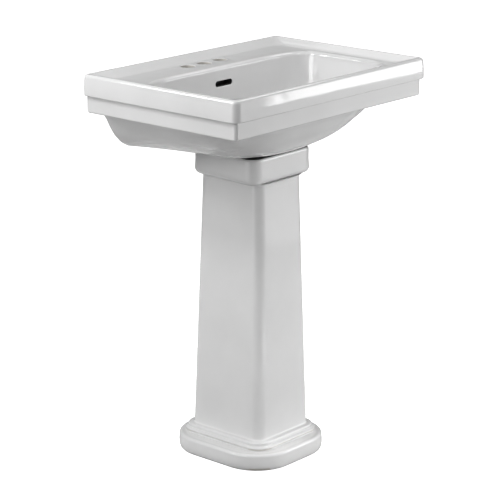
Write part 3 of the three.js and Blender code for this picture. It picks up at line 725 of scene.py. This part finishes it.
def stopper_seal():
    _, size, low, high = size_of("stopper_seal")
    radius = size[0] / 2
    edge = arc((radius - 1.9, high[2] - 0.9), 0.9, -30, 90, 6)
    lip = [(9.4, low[2]), (radius - 3.4, low[2]), (radius - 2.6, low[2] + 0.5)]
    return turned("seal", [*lip, *edge, (9.4, high[2]), (9, high[2] - 0.4), (9, low[2] + 0.4)], 0, DRAIN_Y)


def stopper_stem():
    _, size, low, high = size_of("stopper_stem")
    foot, top = low[2], high[2]
    collar, shank = size[0] / 2, 5.5
    spring_top = 682.35
    below = [(3.2, foot), (4, foot + 0.8), (4, spring_top - 0.2)]
    below += [(collar - 0.3, spring_top), (collar, spring_top + 0.3), (collar, spring_top + 2.3)]
    below += [*arc((collar - 0.8, spring_top + 2.2), 0.8, 20, 80, 4), (shank, spring_top + 5.8)]
    head = [(shank, top - 3), (7.6, top - 2), (8, top - 1.6), (8, top - 0.4), (7.6, top)]
    thread = threaded_rings(shank, 0.5, 1.2, 0, DRAIN_Y, spring_top + 6, top - 3.4)
    below, head = ([round_ring(r, 0, DRAIN_Y, z, 60) for r, z in profile] for profile in (below, head))
    return loft("stem", below + thread + head)


def stopper_guide():
    """Ring and hub joined by three arms."""
    _, size, low, high = size_of("stopper_guide")
    outer, foot, top = max(size[0], size[1]) / 2, low[2], high[2]
    guide = rounded_ring("guide", outer - 2, outer, foot, top, 0, DRAIN_Y, 0.4)
    hub = rounded_ring("hub", 4.35, 9, foot, top, 0, DRAIN_Y, 0.5)
    for turn in np.radians((0, 120, 240)):
        arm = block("arm", (8.2, -1.2, foot + 1), (outer - 1, 1.2, top - 1))
        for vertex in arm.data.vertices:
            px, py, pz = vertex.co
            vertex.co = (
                px * math.cos(turn) - py * math.sin(turn),
                DRAIN_Y * MM + px * math.sin(turn) + py * math.cos(turn),
                pz,
            )
        combine(guide, "UNION", arm)
    return combine(guide, "UNION", hub)


def nut_with_bore(node, *steps, chamfer=1.2):
    """Hexagonal nut around an upright axis that fills its CAD node's box."""
    centre, size, low, high = size_of(node)
    flats = min(size[0], size[1])
    nut = hexagon(node + "_fine", flats, centre[0], centre[1], low[2], high[2], chamfer)
    return cut(nut, bore(centre[0], centre[1], *steps))


def drain_locknut():
    foot, top = (corner[2] for corner in box_mm("drain_locknut"))
    lead_in = 23.2
    steps = [
        (lead_in, foot - 1, foot + 0.9),
        (AROUND_BARREL, foot + 1.6, top - 1.6),
        (lead_in, top - 0.9, top + 1),
    ]
    return nut_with_bore("drain_locknut", *steps, chamfer=2)


def tailpiece_nut():
    foot, top = (corner[2] for corner in box_mm("tailpiece_nut"))
    steps = [(NUT_AROUND_TUBE, foot - 1, foot + 4.9), (AROUND_BARREL, foot + 5, top + 1)]
    return nut_with_bore("tailpiece_nut", *steps)


def slip_nut(node):
    foot, top = (corner[2] for corner in box_mm(node))
    steps = [(AROUND_COLLAR, foot - 1, top - 3.1), (NUT_AROUND_TUBE, top - 3, top + 1)]
    return nut_with_bore(node, *steps, chamfer=1.6)


def ring_like(node, inner, edge=0.4):
    """Ring around an upright axis that fills its CAD node's box, with rounded edges."""
    centre, size, low, high = size_of(node)
    edge = min(edge, (high[2] - low[2]) / 2.2)
    return rounded_ring(node + "_fine", inner, size[0] / 2, low[2], high[2], centre[0], centre[1], edge)


def basin_gasket():
    _, size, low, high = size_of("basin_gasket")
    radius, foot, top, inner = size[0] / 2, low[2], high[2], AROUND_BARREL
    rim = [(radius - 0.6, foot), *arc((radius - 0.8, foot + 0.8), 0.8, 300, 360, 3), (radius, foot + 3.6)]
    cone = [(radius - 0.5, foot + 4.3), (inner + 3, top - 0.2), (inner + 2.4, top), (inner, top)]
    return turned("gasket", [(inner, foot), *rim, *cone], 0, DRAIN_Y)


def tailpiece():
    _, size, low, high = size_of("tailpiece")
    outer = size[0] / 2
    return rounded_ring("tube", outer - TUBE_WALL, outer, low[2], high[2], 0, DRAIN_Y, 0.3)


def trap_bend():
    """U-bend with a ridged collar on each leg and a boss below for the cleanout plug."""
    foot, top = (corner[2] for corner in box_mm("trap_bend"))
    radius, middle_z, collar, tube, inside = 38, 452, 20.4, 18, 16.5
    middle_y = DRAIN_Y + radius
    leg = [(top, collar - 0.6), (top - 0.6, collar)]
    for ridge in range(5):
        ridge_top = top - 3 - 2.2 * ridge
        leg += [(ridge_top, collar), (ridge_top - 0.7, collar - 0.7), (ridge_top - 1.4, collar)]
    leg += [(top - 17, collar), (top - 17.8, collar - 0.8), (top - 19, tube + 0.2), (top - 20, tube)]
    leg.append((middle_z + 6, tube))
    rows = [((DRAIN_Y, z), (0, -1), r) for z, r in leg]
    for angle in np.radians(np.linspace(180, 360, 49)):
        at = (middle_y + radius * math.cos(angle), middle_z + radius * math.sin(angle))
        rows.append((at, (-math.sin(angle), math.cos(angle)), tube))
    rows += [((middle_y + radius, z), (0, 1), r) for z, r in leg[::-1]]
    bend = bent_tube("bend", [row[:2] for row in rows], [row[2] for row in rows], [inside] * len(rows))
    boss = [(0, foot), (12.2, foot), (13, foot + 0.8), (13, foot + 5), (14.5, foot + 8), (14.5, foot + 20)]
    combine(bend, "UNION", turned("boss", [*boss, (0, foot + 20)], 0, middle_y))
    channel = loft("channel", [tube_ring(at, way, inside) for at, way, outer in rows if outer == tube])
    return cut(bend, channel, bore(0, middle_y, (9, foot - 1, middle_z - radius)))


def trap_arm():
    """Tube that rises out of the trap and turns to the wall."""
    _, size, low, high = size_of("trap_arm")
    outer = size[0] / 2
    radius, level = 30, 540
    start_y = low[1] + outer
    rows = [((start_y, z), (0, 1)) for z in (low[2], low[2] + 0.4, level - radius - 3)]
    for angle in np.radians(np.linspace(180, 90, 33)):
        at = (start_y + radius + radius * math.cos(angle), level - radius + radius * math.sin(angle))
        rows.append((at, (math.sin(angle), -math.cos(angle))))
    rows += [((y, level), (1, 0)) for y in (start_y + radius + 3, high[1] - 0.4, high[1])]
    ends = (0, len(rows) - 1)
    outers = [outer - 0.4 if i in ends else outer for i in range(len(rows))]
    inners = [outer - 0.9 if i in ends else outer - TUBE_WALL for i in range(len(rows))]
    return bent_tube("arm", rows, outers, inners)


def cleanout_plug():
    centre, size, low, high = size_of("cleanout_plug")
    x, y = centre[0], centre[1]
    plug = hexagon("plug", min(size[0], size[1]), x, y, low[2], low[2] + 7, 1)
    rings = [round_ring(8, x, y, low[2] + 4, 60)]
    rings += threaded_rings(8.65, 0.6, 1.5, x, y, low[2] + 7.2, high[2] - 0.8)
    rings.append(round_ring(7.6, x, y, high[2], 60))
    return combine(plug, "UNION", loft("plug_thread", rings))


def wall_stud(node):
    centre, size, low, high = size_of(node)
    length = high[1] - low[1]
    rings = [round_ring(3.3, 0, 0, 0, 60)]
    rings += threaded_rings(size[0] / 2, 0.6, 1.25, 0, 0, 0.7, length - 0.3)
    rings.append(round_ring(3.3, 0, 0, length, 60))
    return along_y(loft(node + "_fine", rings), centre[0], low[1], centre[2])


def wall_washer(node):
    centre, size, low, high = size_of(node)
    washer = rounded_ring(node + "_fine", AROUND_STUD, size[0] / 2, 0, high[1] - low[1], 0, 0, 0.3)
    return along_y(washer, centre[0], low[1], centre[2])


def wall_nut(node):
    centre, _, low, high = size_of(node)
    depth = high[1] - low[1]
    lead_in = 4.9
    nut = hexagon(node + "_fine", 13, 0, 0, 0, depth, 0.8)
    steps = [(lead_in, -1, 0.3), (AROUND_STUD, 0.9, depth - 0.9), (lead_in, depth - 0.3, depth + 1)]
    return along_y(cut(nut, bore(0, 0, *steps)), centre[0], low[1], centre[2])


def floor_screw(node):
    centre, _, low, high = size_of(node)
    x, y = centre[0], centre[1]
    head_low = high[2] - 5
    screw = hexagon(node + "_fine", 11, x, y, head_low, high[2], 0.8)
    rings = [round_ring(2.6, x, y, low[2], 60)]
    rings += threaded_rings(3.5, 0.7, 2.4, x, y, low[2] + 0.4, head_low - 4)
    rings.append(round_ring(3.4, x, y, head_low + 1, 60))
    return combine(screw, "UNION", loft("shank", rings))


def pad(node):
    """Rubber pad with its upper and lower edges eased."""
    centre, size, low, high = size_of(node)
    rings = []
    for inset, z in [(0.6, low[2]), (0, low[2] + 0.6), (0, high[2] - 0.6), (0.6, high[2])]:
        outline = rounded_rectangle(size[0] / 2 - inset, high[1] - inset, low[1] + inset, 3)
        outline[:, 0] += centre[0]
        rings.append(at_height(outline, z))
    return loft(node + "_fine", rings)


FINE = {
    "drain_body": drain_body,
    "flange_seal": lambda: ring_like("flange_seal", AROUND_FLANGE_NECK),
    "basin_gasket": basin_gasket,
    "friction_washer": lambda: ring_like("friction_washer", AROUND_BARREL),
    "drain_locknut": drain_locknut,
    "stopper_guide": stopper_guide,
    "stopper_cap": stopper_cap,
    "stopper_seal": stopper_seal,
    "stopper_stem": stopper_stem,
    "tailpiece": tailpiece,
    "tailpiece_nut": tailpiece_nut,
    "tailpiece_seal": lambda: ring_like("tailpiece_seal", AROUND_TUBE),
    "trap_bend": trap_bend,
    "trap_inlet_nut": lambda: slip_nut("trap_inlet_nut"),
    "trap_inlet_washer": lambda: ring_like("trap_inlet_washer", AROUND_TUBE, 0.6),
    "trap_outlet_nut": lambda: slip_nut("trap_outlet_nut"),
    "trap_outlet_washer": lambda: ring_like("trap_outlet_washer", AROUND_TUBE, 0.6),
    "trap_arm": trap_arm,
    "cleanout_plug": cleanout_plug,
    "cleanout_seal": lambda: ring_like("cleanout_seal", AROUND_PLUG),
}
PAIRED = {
    "wall_stud": wall_stud,
    "wall_washer": wall_washer,
    "wall_nut": wall_nut,
    "floor_screw": floor_screw,
    "floor_washer": lambda node: ring_like(node, AROUND_SCREW),
    "pad_front": pad,
    "pad_back": pad,
}
for side in ("left", "right"):
    for kind, build_kind in PAIRED.items():
        FINE[f"{kind}_{side}"] = partial(build_kind, f"{kind}_{side}")


# ---- Materials ----


def new_material(name):
    """A material with its nodes, its links and its shader."""
    material = bpy.data.materials.new(name)
    material.use_nodes = True
    nodes = material.node_tree.nodes
    return material, nodes, material.node_tree.links, nodes["Principled BSDF"]


def noise_node(nodes, links, scale, detail=3.0):
    """Noise in the object's own metres."""
    position = nodes.new("ShaderNodeTexCoord")
    noise = nodes.new("ShaderNodeTexNoise")
    noise.inputs["Scale"].default_value = scale
    noise.inputs["Detail"].default_value = detail
    links.new(position.outputs["Object"], noise.inputs["Vector"])
    return noise


def tint(nodes, links, noise, low, high, target):
    """Colour that drifts between two values with the noise."""
    ramp = nodes.new("ShaderNodeValToRGB")
    ramp.color_ramp.elements[0].position = 0.3
    ramp.color_ramp.elements[0].color = (*low, 1)
    ramp.color_ramp.elements[1].position = 0.7
    ramp.color_ramp.elements[1].color = (*high, 1)
    links.new(noise.outputs["Fac"], ramp.inputs["Fac"])
    links.new(ramp.outputs["Color"], target)


def drift(nodes, links, noise, low, high, target):
    """Number that drifts between two values with the noise."""
    span = nodes.new("ShaderNodeMapRange")
    span.inputs["From Min"].default_value = 0.3
    span.inputs["From Max"].default_value = 0.7
    span.inputs["To Min"].default_value = low
    span.inputs["To Max"].default_value = high
    links.new(noise.outputs["Fac"], span.inputs["Value"])
    links.new(span.outputs["Result"], target)


def bump(nodes, links, noise, distance, shader):
    """Small unevenness of the surface, with its height in metres."""
    bump_node = nodes.new("ShaderNodeBump")
    bump_node.inputs["Strength"].default_value = 1.0
    bump_node.inputs["Distance"].default_value = distance
    links.new(noise.outputs["Fac"], bump_node.inputs["Height"])
    links.new(bump_node.outputs["Normal"], shader.inputs["Normal"])


def china_material():
    material, nodes, links, shader = new_material("china")
    dark, light = (0.71, 0.71, 0.71), (0.75, 0.75, 0.75)
    tint(nodes, links, noise_node(nodes, links, 9), dark, light, shader.inputs["Base Color"])
    drift(nodes, links, noise_node(nodes, links, 30), 0.07, 0.13, shader.inputs["Roughness"])
    shader.inputs["IOR"].default_value = 1.54
    shader.inputs["Coat Weight"].default_value = 0.6
    shader.inputs["Coat Roughness"].default_value = 0.03
    bump(nodes, links, noise_node(nodes, links, 14, 1.5), 0.0012, shader)
    return material


def metal_material(name, dark, light, roughness, scale, bump_height):
    """Metal whose colour and roughness drift with noise of one scale, with bumps of a height."""
    material, nodes, links, shader = new_material(name)
    shader.inputs["Metallic"].default_value = 1.0
    tint(nodes, links, noise_node(nodes, links, scale), dark, light, shader.inputs["Base Color"])
    wear = noise_node(nodes, links, scale * 3)
    drift(nodes, links, wear, roughness * 0.7, roughness * 1.4, shader.inputs["Roughness"])
    bump(nodes, links, noise_node(nodes, links, scale * 6), bump_height, shader)
    return material


def clay_and_painted_shade_material(name, dark, light):
    """Bare china where no glaze reaches; made near black, it is also the painted shade of recesses and gaps.
    """
    material, nodes, links, shader = new_material(name)
    tint(nodes, links, noise_node(nodes, links, 45), dark, light, shader.inputs["Base Color"])
    drift(nodes, links, noise_node(nodes, links, 80), 0.7, 0.9, shader.inputs["Roughness"])
    bump(nodes, links, noise_node(nodes, links, 900, 6), 0.0001, shader)
    return material


def soft_material(name, dark, light, roughness, scale, bump_height):
    """Rubber or plastic, with the same drifts as the metals."""
    material, nodes, links, shader = new_material(name)
    tint(nodes, links, noise_node(nodes, links, scale), dark, light, shader.inputs["Base Color"])
    wear = noise_node(nodes, links, scale * 2)
    drift(nodes, links, wear, roughness * 0.85, roughness * 1.1, shader.inputs["Roughness"])
    bump(nodes, links, noise_node(nodes, links, scale * 8, 6), bump_height, shader)
    return material


MATERIALS = {
    "china": china_material(),
    "chrome": metal_material("chrome", (0.62, 0.63, 0.64), (0.72, 0.73, 0.74), 0.08, 40, 0.00002),
    "brass": metal_material("brass", (0.52, 0.37, 0.14), (0.68, 0.50, 0.22), 0.26, 60, 0.00005),
    "steel": metal_material("steel", (0.38, 0.39, 0.40), (0.58, 0.59, 0.60), 0.32, 160, 0.00006),
    "spring_steel": metal_material("spring_steel", (0.45, 0.46, 0.47), (0.6, 0.61, 0.62), 0.22, 90, 0.00003),
    "rubber": soft_material("rubber", (0.012, 0.012, 0.012), (0.03, 0.03, 0.03), 0.7, 120, 0.00008),
    "nylon": soft_material("nylon", (0.66, 0.65, 0.60), (0.76, 0.75, 0.70), 0.42, 70, 0.00004),
}


def finish_with(piece, slot):
    """Gives a piece the material of its slot, in place of any it has."""
    piece.data.materials.clear()
    piece.data.materials.append(MATERIALS[slot])
    return piece


CLAY = clay_and_painted_shade_material("clay", (0.50, 0.48, 0.45), (0.60, 0.58, 0.54))
# Near-black painted shade, put in the overflow's recess and on the pedestal's seat in the gap under the
# basin
PAINTED_SHADE_BLACK = clay_and_painted_shade_material("painted_shade_black", (0.010, 0.010, 0.010), (0.022, 0.022, 0.022))


def finish_china(piece, is_clay, shows_painted_shade):
    """Glaze, with bare clay where is_clay holds and near-black painted shade where the other test holds, in
    millimetres.
    """
    finish_with(piece, "china")
    piece.data.materials.append(CLAY)
    piece.data.materials.append(PAINTED_SHADE_BLACK)
    for polygon in piece.data.polygons:
        middle = polygon.center / MM
        if shows_painted_shade(middle):
            polygon.material_index = 2
        elif is_clay(middle, polygon.normal):
            polygon.material_index = 1
    return piece


def in_faucet_hole(middle):
    """In a faucet hole, below its rounded edge."""
    x, y, z = middle
    reach = min(math.hypot(x - hole, y - FAUCET_LINE_Y) for hole in FAUCET_HOLES)
    return reach < FAUCET_HOLE + 1 and DECK_UNDER - 2 < z < DECK_Z - FAUCET_HOLE_EDGE + 0.2


def overflow_painted_shade(middle):
    """In the overflow slot or the channel behind it, which are painted near black as the shade in that
    recess.
    """
    x, y, z = middle
    near = abs(x) < OVERFLOW_HALF + 10 and y < DUCT_BACK + 1
    in_slot = y > OVERFLOW_WALL_Y + 0.9 and abs(z - OVERFLOW_Z) < OVERFLOW_RADIUS + 0.9
    in_channel = y > DUCT_FRONT - 1 and z < OVERFLOW_Z + 14
    return near and (in_slot or in_channel)


def under_basin(middle, normal):
    """The hollow under the rim and deck, where only bare clay is left."""
    x, y, z = middle
    apron_inside = max(abs(x) - RIM_HALF, RIM_FRONT - y) + BAND_STEP + APRON_WALL
    on_apron = -5 < apron_inside < 0.5 and APRON_Z + 4 < z < DECK_UNDER + 0.5
    return in_faucet_hole(middle) or on_apron or (normal.z < -0.9 and abs(z - DECK_UNDER) < 1)


def seat_painted_shadow(middle):
    """The narrow ledge between the cap and the basin, painted near black as the shadow in that gap."""
    return middle[2] > PEDESTAL_TOP - 0.9


def under_pedestal(middle, normal):
    """The foot, the walls that face the inside and the roof inside the base."""
    x, y, z = middle
    from_axis = y - (BASE_FRONT + BASE_BACK) / 2
    inwards = x * normal.x + from_axis * normal.y < -0.3 * math.hypot(x, from_axis)
    within_base = abs(x) < BASE[0] - 12 and abs(from_axis) < (BASE_BACK - BASE_FRONT) / 2 - 12
    is_roof = normal.z < -0.3 and z < FOOT_Z and within_base
    return z < 0.6 or is_roof or (inwards and z < PEDESTAL_TOP - 1)


# ---- Stage ----

STAGE_RADIUS = 30.0
STAGE_GREY = 0.85
REFLECTED_FLOOR_Z = -0.001
REFLECTED_FLOOR_GLOW = 0.03


def stage_piece(name, corners, faces, glow):
    """Pale glowing piece of the set, in metres, which throws no shadow and lights nothing by itself."""
    mesh = bpy.data.meshes.new(name)
    mesh.from_pydata(corners, [], faces)
    piece = bpy.data.objects.new(name, mesh)
    bpy.context.scene.collection.objects.link(piece)
    piece.visible_diffuse = False
    piece.visible_shadow = False
    material, _, _, shader = new_material(name)
    shader.inputs["Base Color"].default_value = (STAGE_GREY, STAGE_GREY, STAGE_GREY, 1)
    shader.inputs["Roughness"].default_value = 0.9
    shader.inputs["Specular IOR Level"].default_value = 0.0
    shader.inputs["Emission Color"].default_value = (1, 1, 1, 1)
    shader.inputs["Emission Strength"].default_value = glow
    piece.data.materials.append(material)
    piece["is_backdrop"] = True
    return piece


def square_sheet(name, z, glow):
    """Level sheet of the set, much larger than the object."""
    size = STAGE_RADIUS
    corners = [(-size, -size, z), (size, -size, z), (size, size, z), (-size, size, z)]
    return stage_piece(name, corners, [(0, 1, 2, 3)], glow)


def backdrop():
    """Round wall far behind everything, seen by the camera alone."""
    sides = 64
    turns = [2 * math.pi * i / sides for i in range(sides)]
    corners = [
        (STAGE_RADIUS * math.cos(turn), STAGE_RADIUS * math.sin(turn), z)
        for z in (-0.01, STAGE_RADIUS)
        for turn in turns
    ]
    faces = [(i, (i + 1) % sides, sides + (i + 1) % sides, sides + i) for i in range(sides)]
    return stage_piece("backdrop", corners, faces, 1.0)


def floor():
    """White floor for the camera over a dimmer one for reflections, which would else flood the glaze."""
    square_sheet("floor", 0, 1.0).visible_glossy = False
    square_sheet("floor_reflected", REFLECTED_FLOOR_Z, REFLECTED_FLOOR_GLOW).visible_camera = False
    backdrop().visible_glossy = False


# Softboxes round the object: azimuth and elevation in degrees, distance, width and height in metres, power
# in watts, and the height on the object's axis that each is aimed at.
SOFTBOXES = {
    "high_left": (-105, 50.5, 2.6, 0.3, 0.3, 18.5, 0.6),
    "strip_left": (-131, 30, 2.2, 0.35, 0.35, 10.5, 0.75),
    "front_low": (45, 6, 1.9, 1.1, 1.7, 6.8, 0.5),
    "left_middle": (-90, 30, 2.3, 0.8, 0.8, 7.7, 0.5),
    "left_low": (-100, 6, 1.9, 1.1, 1.7, 6.0, 0.5),
    "front_rim": (48.7, 0, 2.08, 0.6, 0.85, 7.0, 0.95),
    "high_front": (30, 65, 2.6, 0.25, 0.25, 8.2, 0.6),
    "high_right": (80, 51, 2.6, 0.6, 0.6, 5.6, 0.6),
    "front_wide": (20, 6, 1.9, 1.1, 1.7, 3.1, 0.5),
    "foot": (10, 3, 1.1, 0.5, 0.12, 4.4, 0.03),
    "foot_left": (-95, 3, 1.1, 0.5, 0.12, 1.0, 0.03),
    "under": (0, -90, 0.298, 0.6, 0.6, 0.05, 0.3),
    "back_low": (-125, 6, 1.9, 1.1, 1.7, 2.4, 0.5),
    "high_back": (140, 51, 2.6, 0.6, 0.6, 1.1, 0.6),
}
# These light the foot and the underside, and would show in the glaze as sharp patches
UNSEEN_IN_GLAZE = ("foot", "foot_left", "under")
SKY_STRENGTH = 0.334
SKY_FULL_AT = 0.3


def softbox(name, azimuth, elevation, distance, width, height, power, aim):
    """Rectangular light that faces a point on the object's axis."""
    back = towards(azimuth, elevation)
    data = bpy.data.lights.new(name, "AREA")
    data.shape = "RECTANGLE"
    data.size, data.size_y = width, height
    data.energy = power
    light = bpy.data.objects.new(name, data)
    bpy.context.scene.collection.objects.link(light)
    light.location = Vector((0, 0, aim)) + back * distance
    light.rotation_euler = back.to_track_quat("Z", "Y").to_euler()
    light.visible_camera = False
    light.visible_glossy = name not in UNSEEN_IN_GLAZE


def lighting():
    """A sky that is black at the horizon and pale above, with the softboxes."""
    world = bpy.data.worlds.new("studio")
    world.use_nodes = True
    nodes = world.node_tree.nodes
    links = world.node_tree.links
    position = nodes.new("ShaderNodeTexCoord")
    axes = nodes.new("ShaderNodeSeparateXYZ")
    ramp = nodes.new("ShaderNodeMapRange")
    ramp.inputs["From Min"].default_value = 0
    ramp.inputs["From Max"].default_value = SKY_FULL_AT
    ramp.inputs["To Min"].default_value = 0
    ramp.inputs["To Max"].default_value = SKY_STRENGTH
    links.new(position.outputs["Generated"], axes.inputs["Vector"])
    links.new(axes.outputs["Z"], ramp.inputs["Value"])
    links.new(ramp.outputs["Result"], nodes["Background"].inputs["Strength"])
    nodes["Background"].inputs["Color"].default_value = (1, 1, 1, 1)
    bpy.context.scene.world = world
    for name, values in SOFTBOXES.items():
        softbox(name, *values)


# The camera stands to the front left and a little above, and looks just beside the middle of the object.
CAMERA_AZIMUTH = -48.9
CAMERA_ELEVATION = 16
CAMERA_DISTANCE = 4.348
CAMERA_LENS = 146.7
CAMERA_SENSOR = 36
CAMERA_AIM = Vector((-0.011, 0.013, 0.026))


def camera():
    """Camera at a distance from the middle of the CAD box, moved by the aim, in metres."""
    low, high = (Vector(corner) for corner in cad_bounds)
    target = (low + high) / 2 + CAMERA_AIM
    back = towards(CAMERA_AZIMUTH, CAMERA_ELEVATION)
    data = bpy.data.cameras.new("camera")
    data.lens = CAMERA_LENS
    data.sensor_width = CAMERA_SENSOR
    data.clip_end = 100
    view = bpy.data.objects.new("camera", data)
    bpy.context.scene.collection.objects.link(view)
    view.location = target + back * CAMERA_DISTANCE
    view.rotation_euler = back.to_track_quat("Z", "Y").to_euler()
    bpy.context.scene.camera = view


camera()
floor()
lighting()
bpy.context.scene.view_settings.view_transform = "Standard"

# The overflow's slot and channel are painted near black as shade; the hollow underneath is bare clay
china_basin = finish_china(basin(), under_basin, overflow_painted_shade)
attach(china_basin, FIXED)
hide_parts("basin")

# The pedestal's seat under the basin is painted near black as shadow; its foot and inside are bare clay
china_pedestal = finish_china(pedestal(), under_pedestal, seat_painted_shadow)
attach(china_pedestal, FIXED)
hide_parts("pedestal")

SLOT_OF = {row["node"]: row["material_slot"] for row in frame["record"]["subparts"]}
BODY_OF = {node: body for body, nodes in frame["record"]["behaviour"]["bodies"].items() for node in nodes}
for node, cad_object in frame["nodes"].items():
    finish_with(cad_object, SLOT_OF[node])

for node, build in FINE.items():
    piece = shade(build())
    piece.name = node + "_fine"
    finish_with(piece, SLOT_OF[node])
    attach(piece, BODY_OF[node])
    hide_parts(node)

visual_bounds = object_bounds()
boxes = {"cad": cad_bounds, "visual": visual_bounds}
{name: [list(corner) for corner in box] for name, box in boxes.items()}
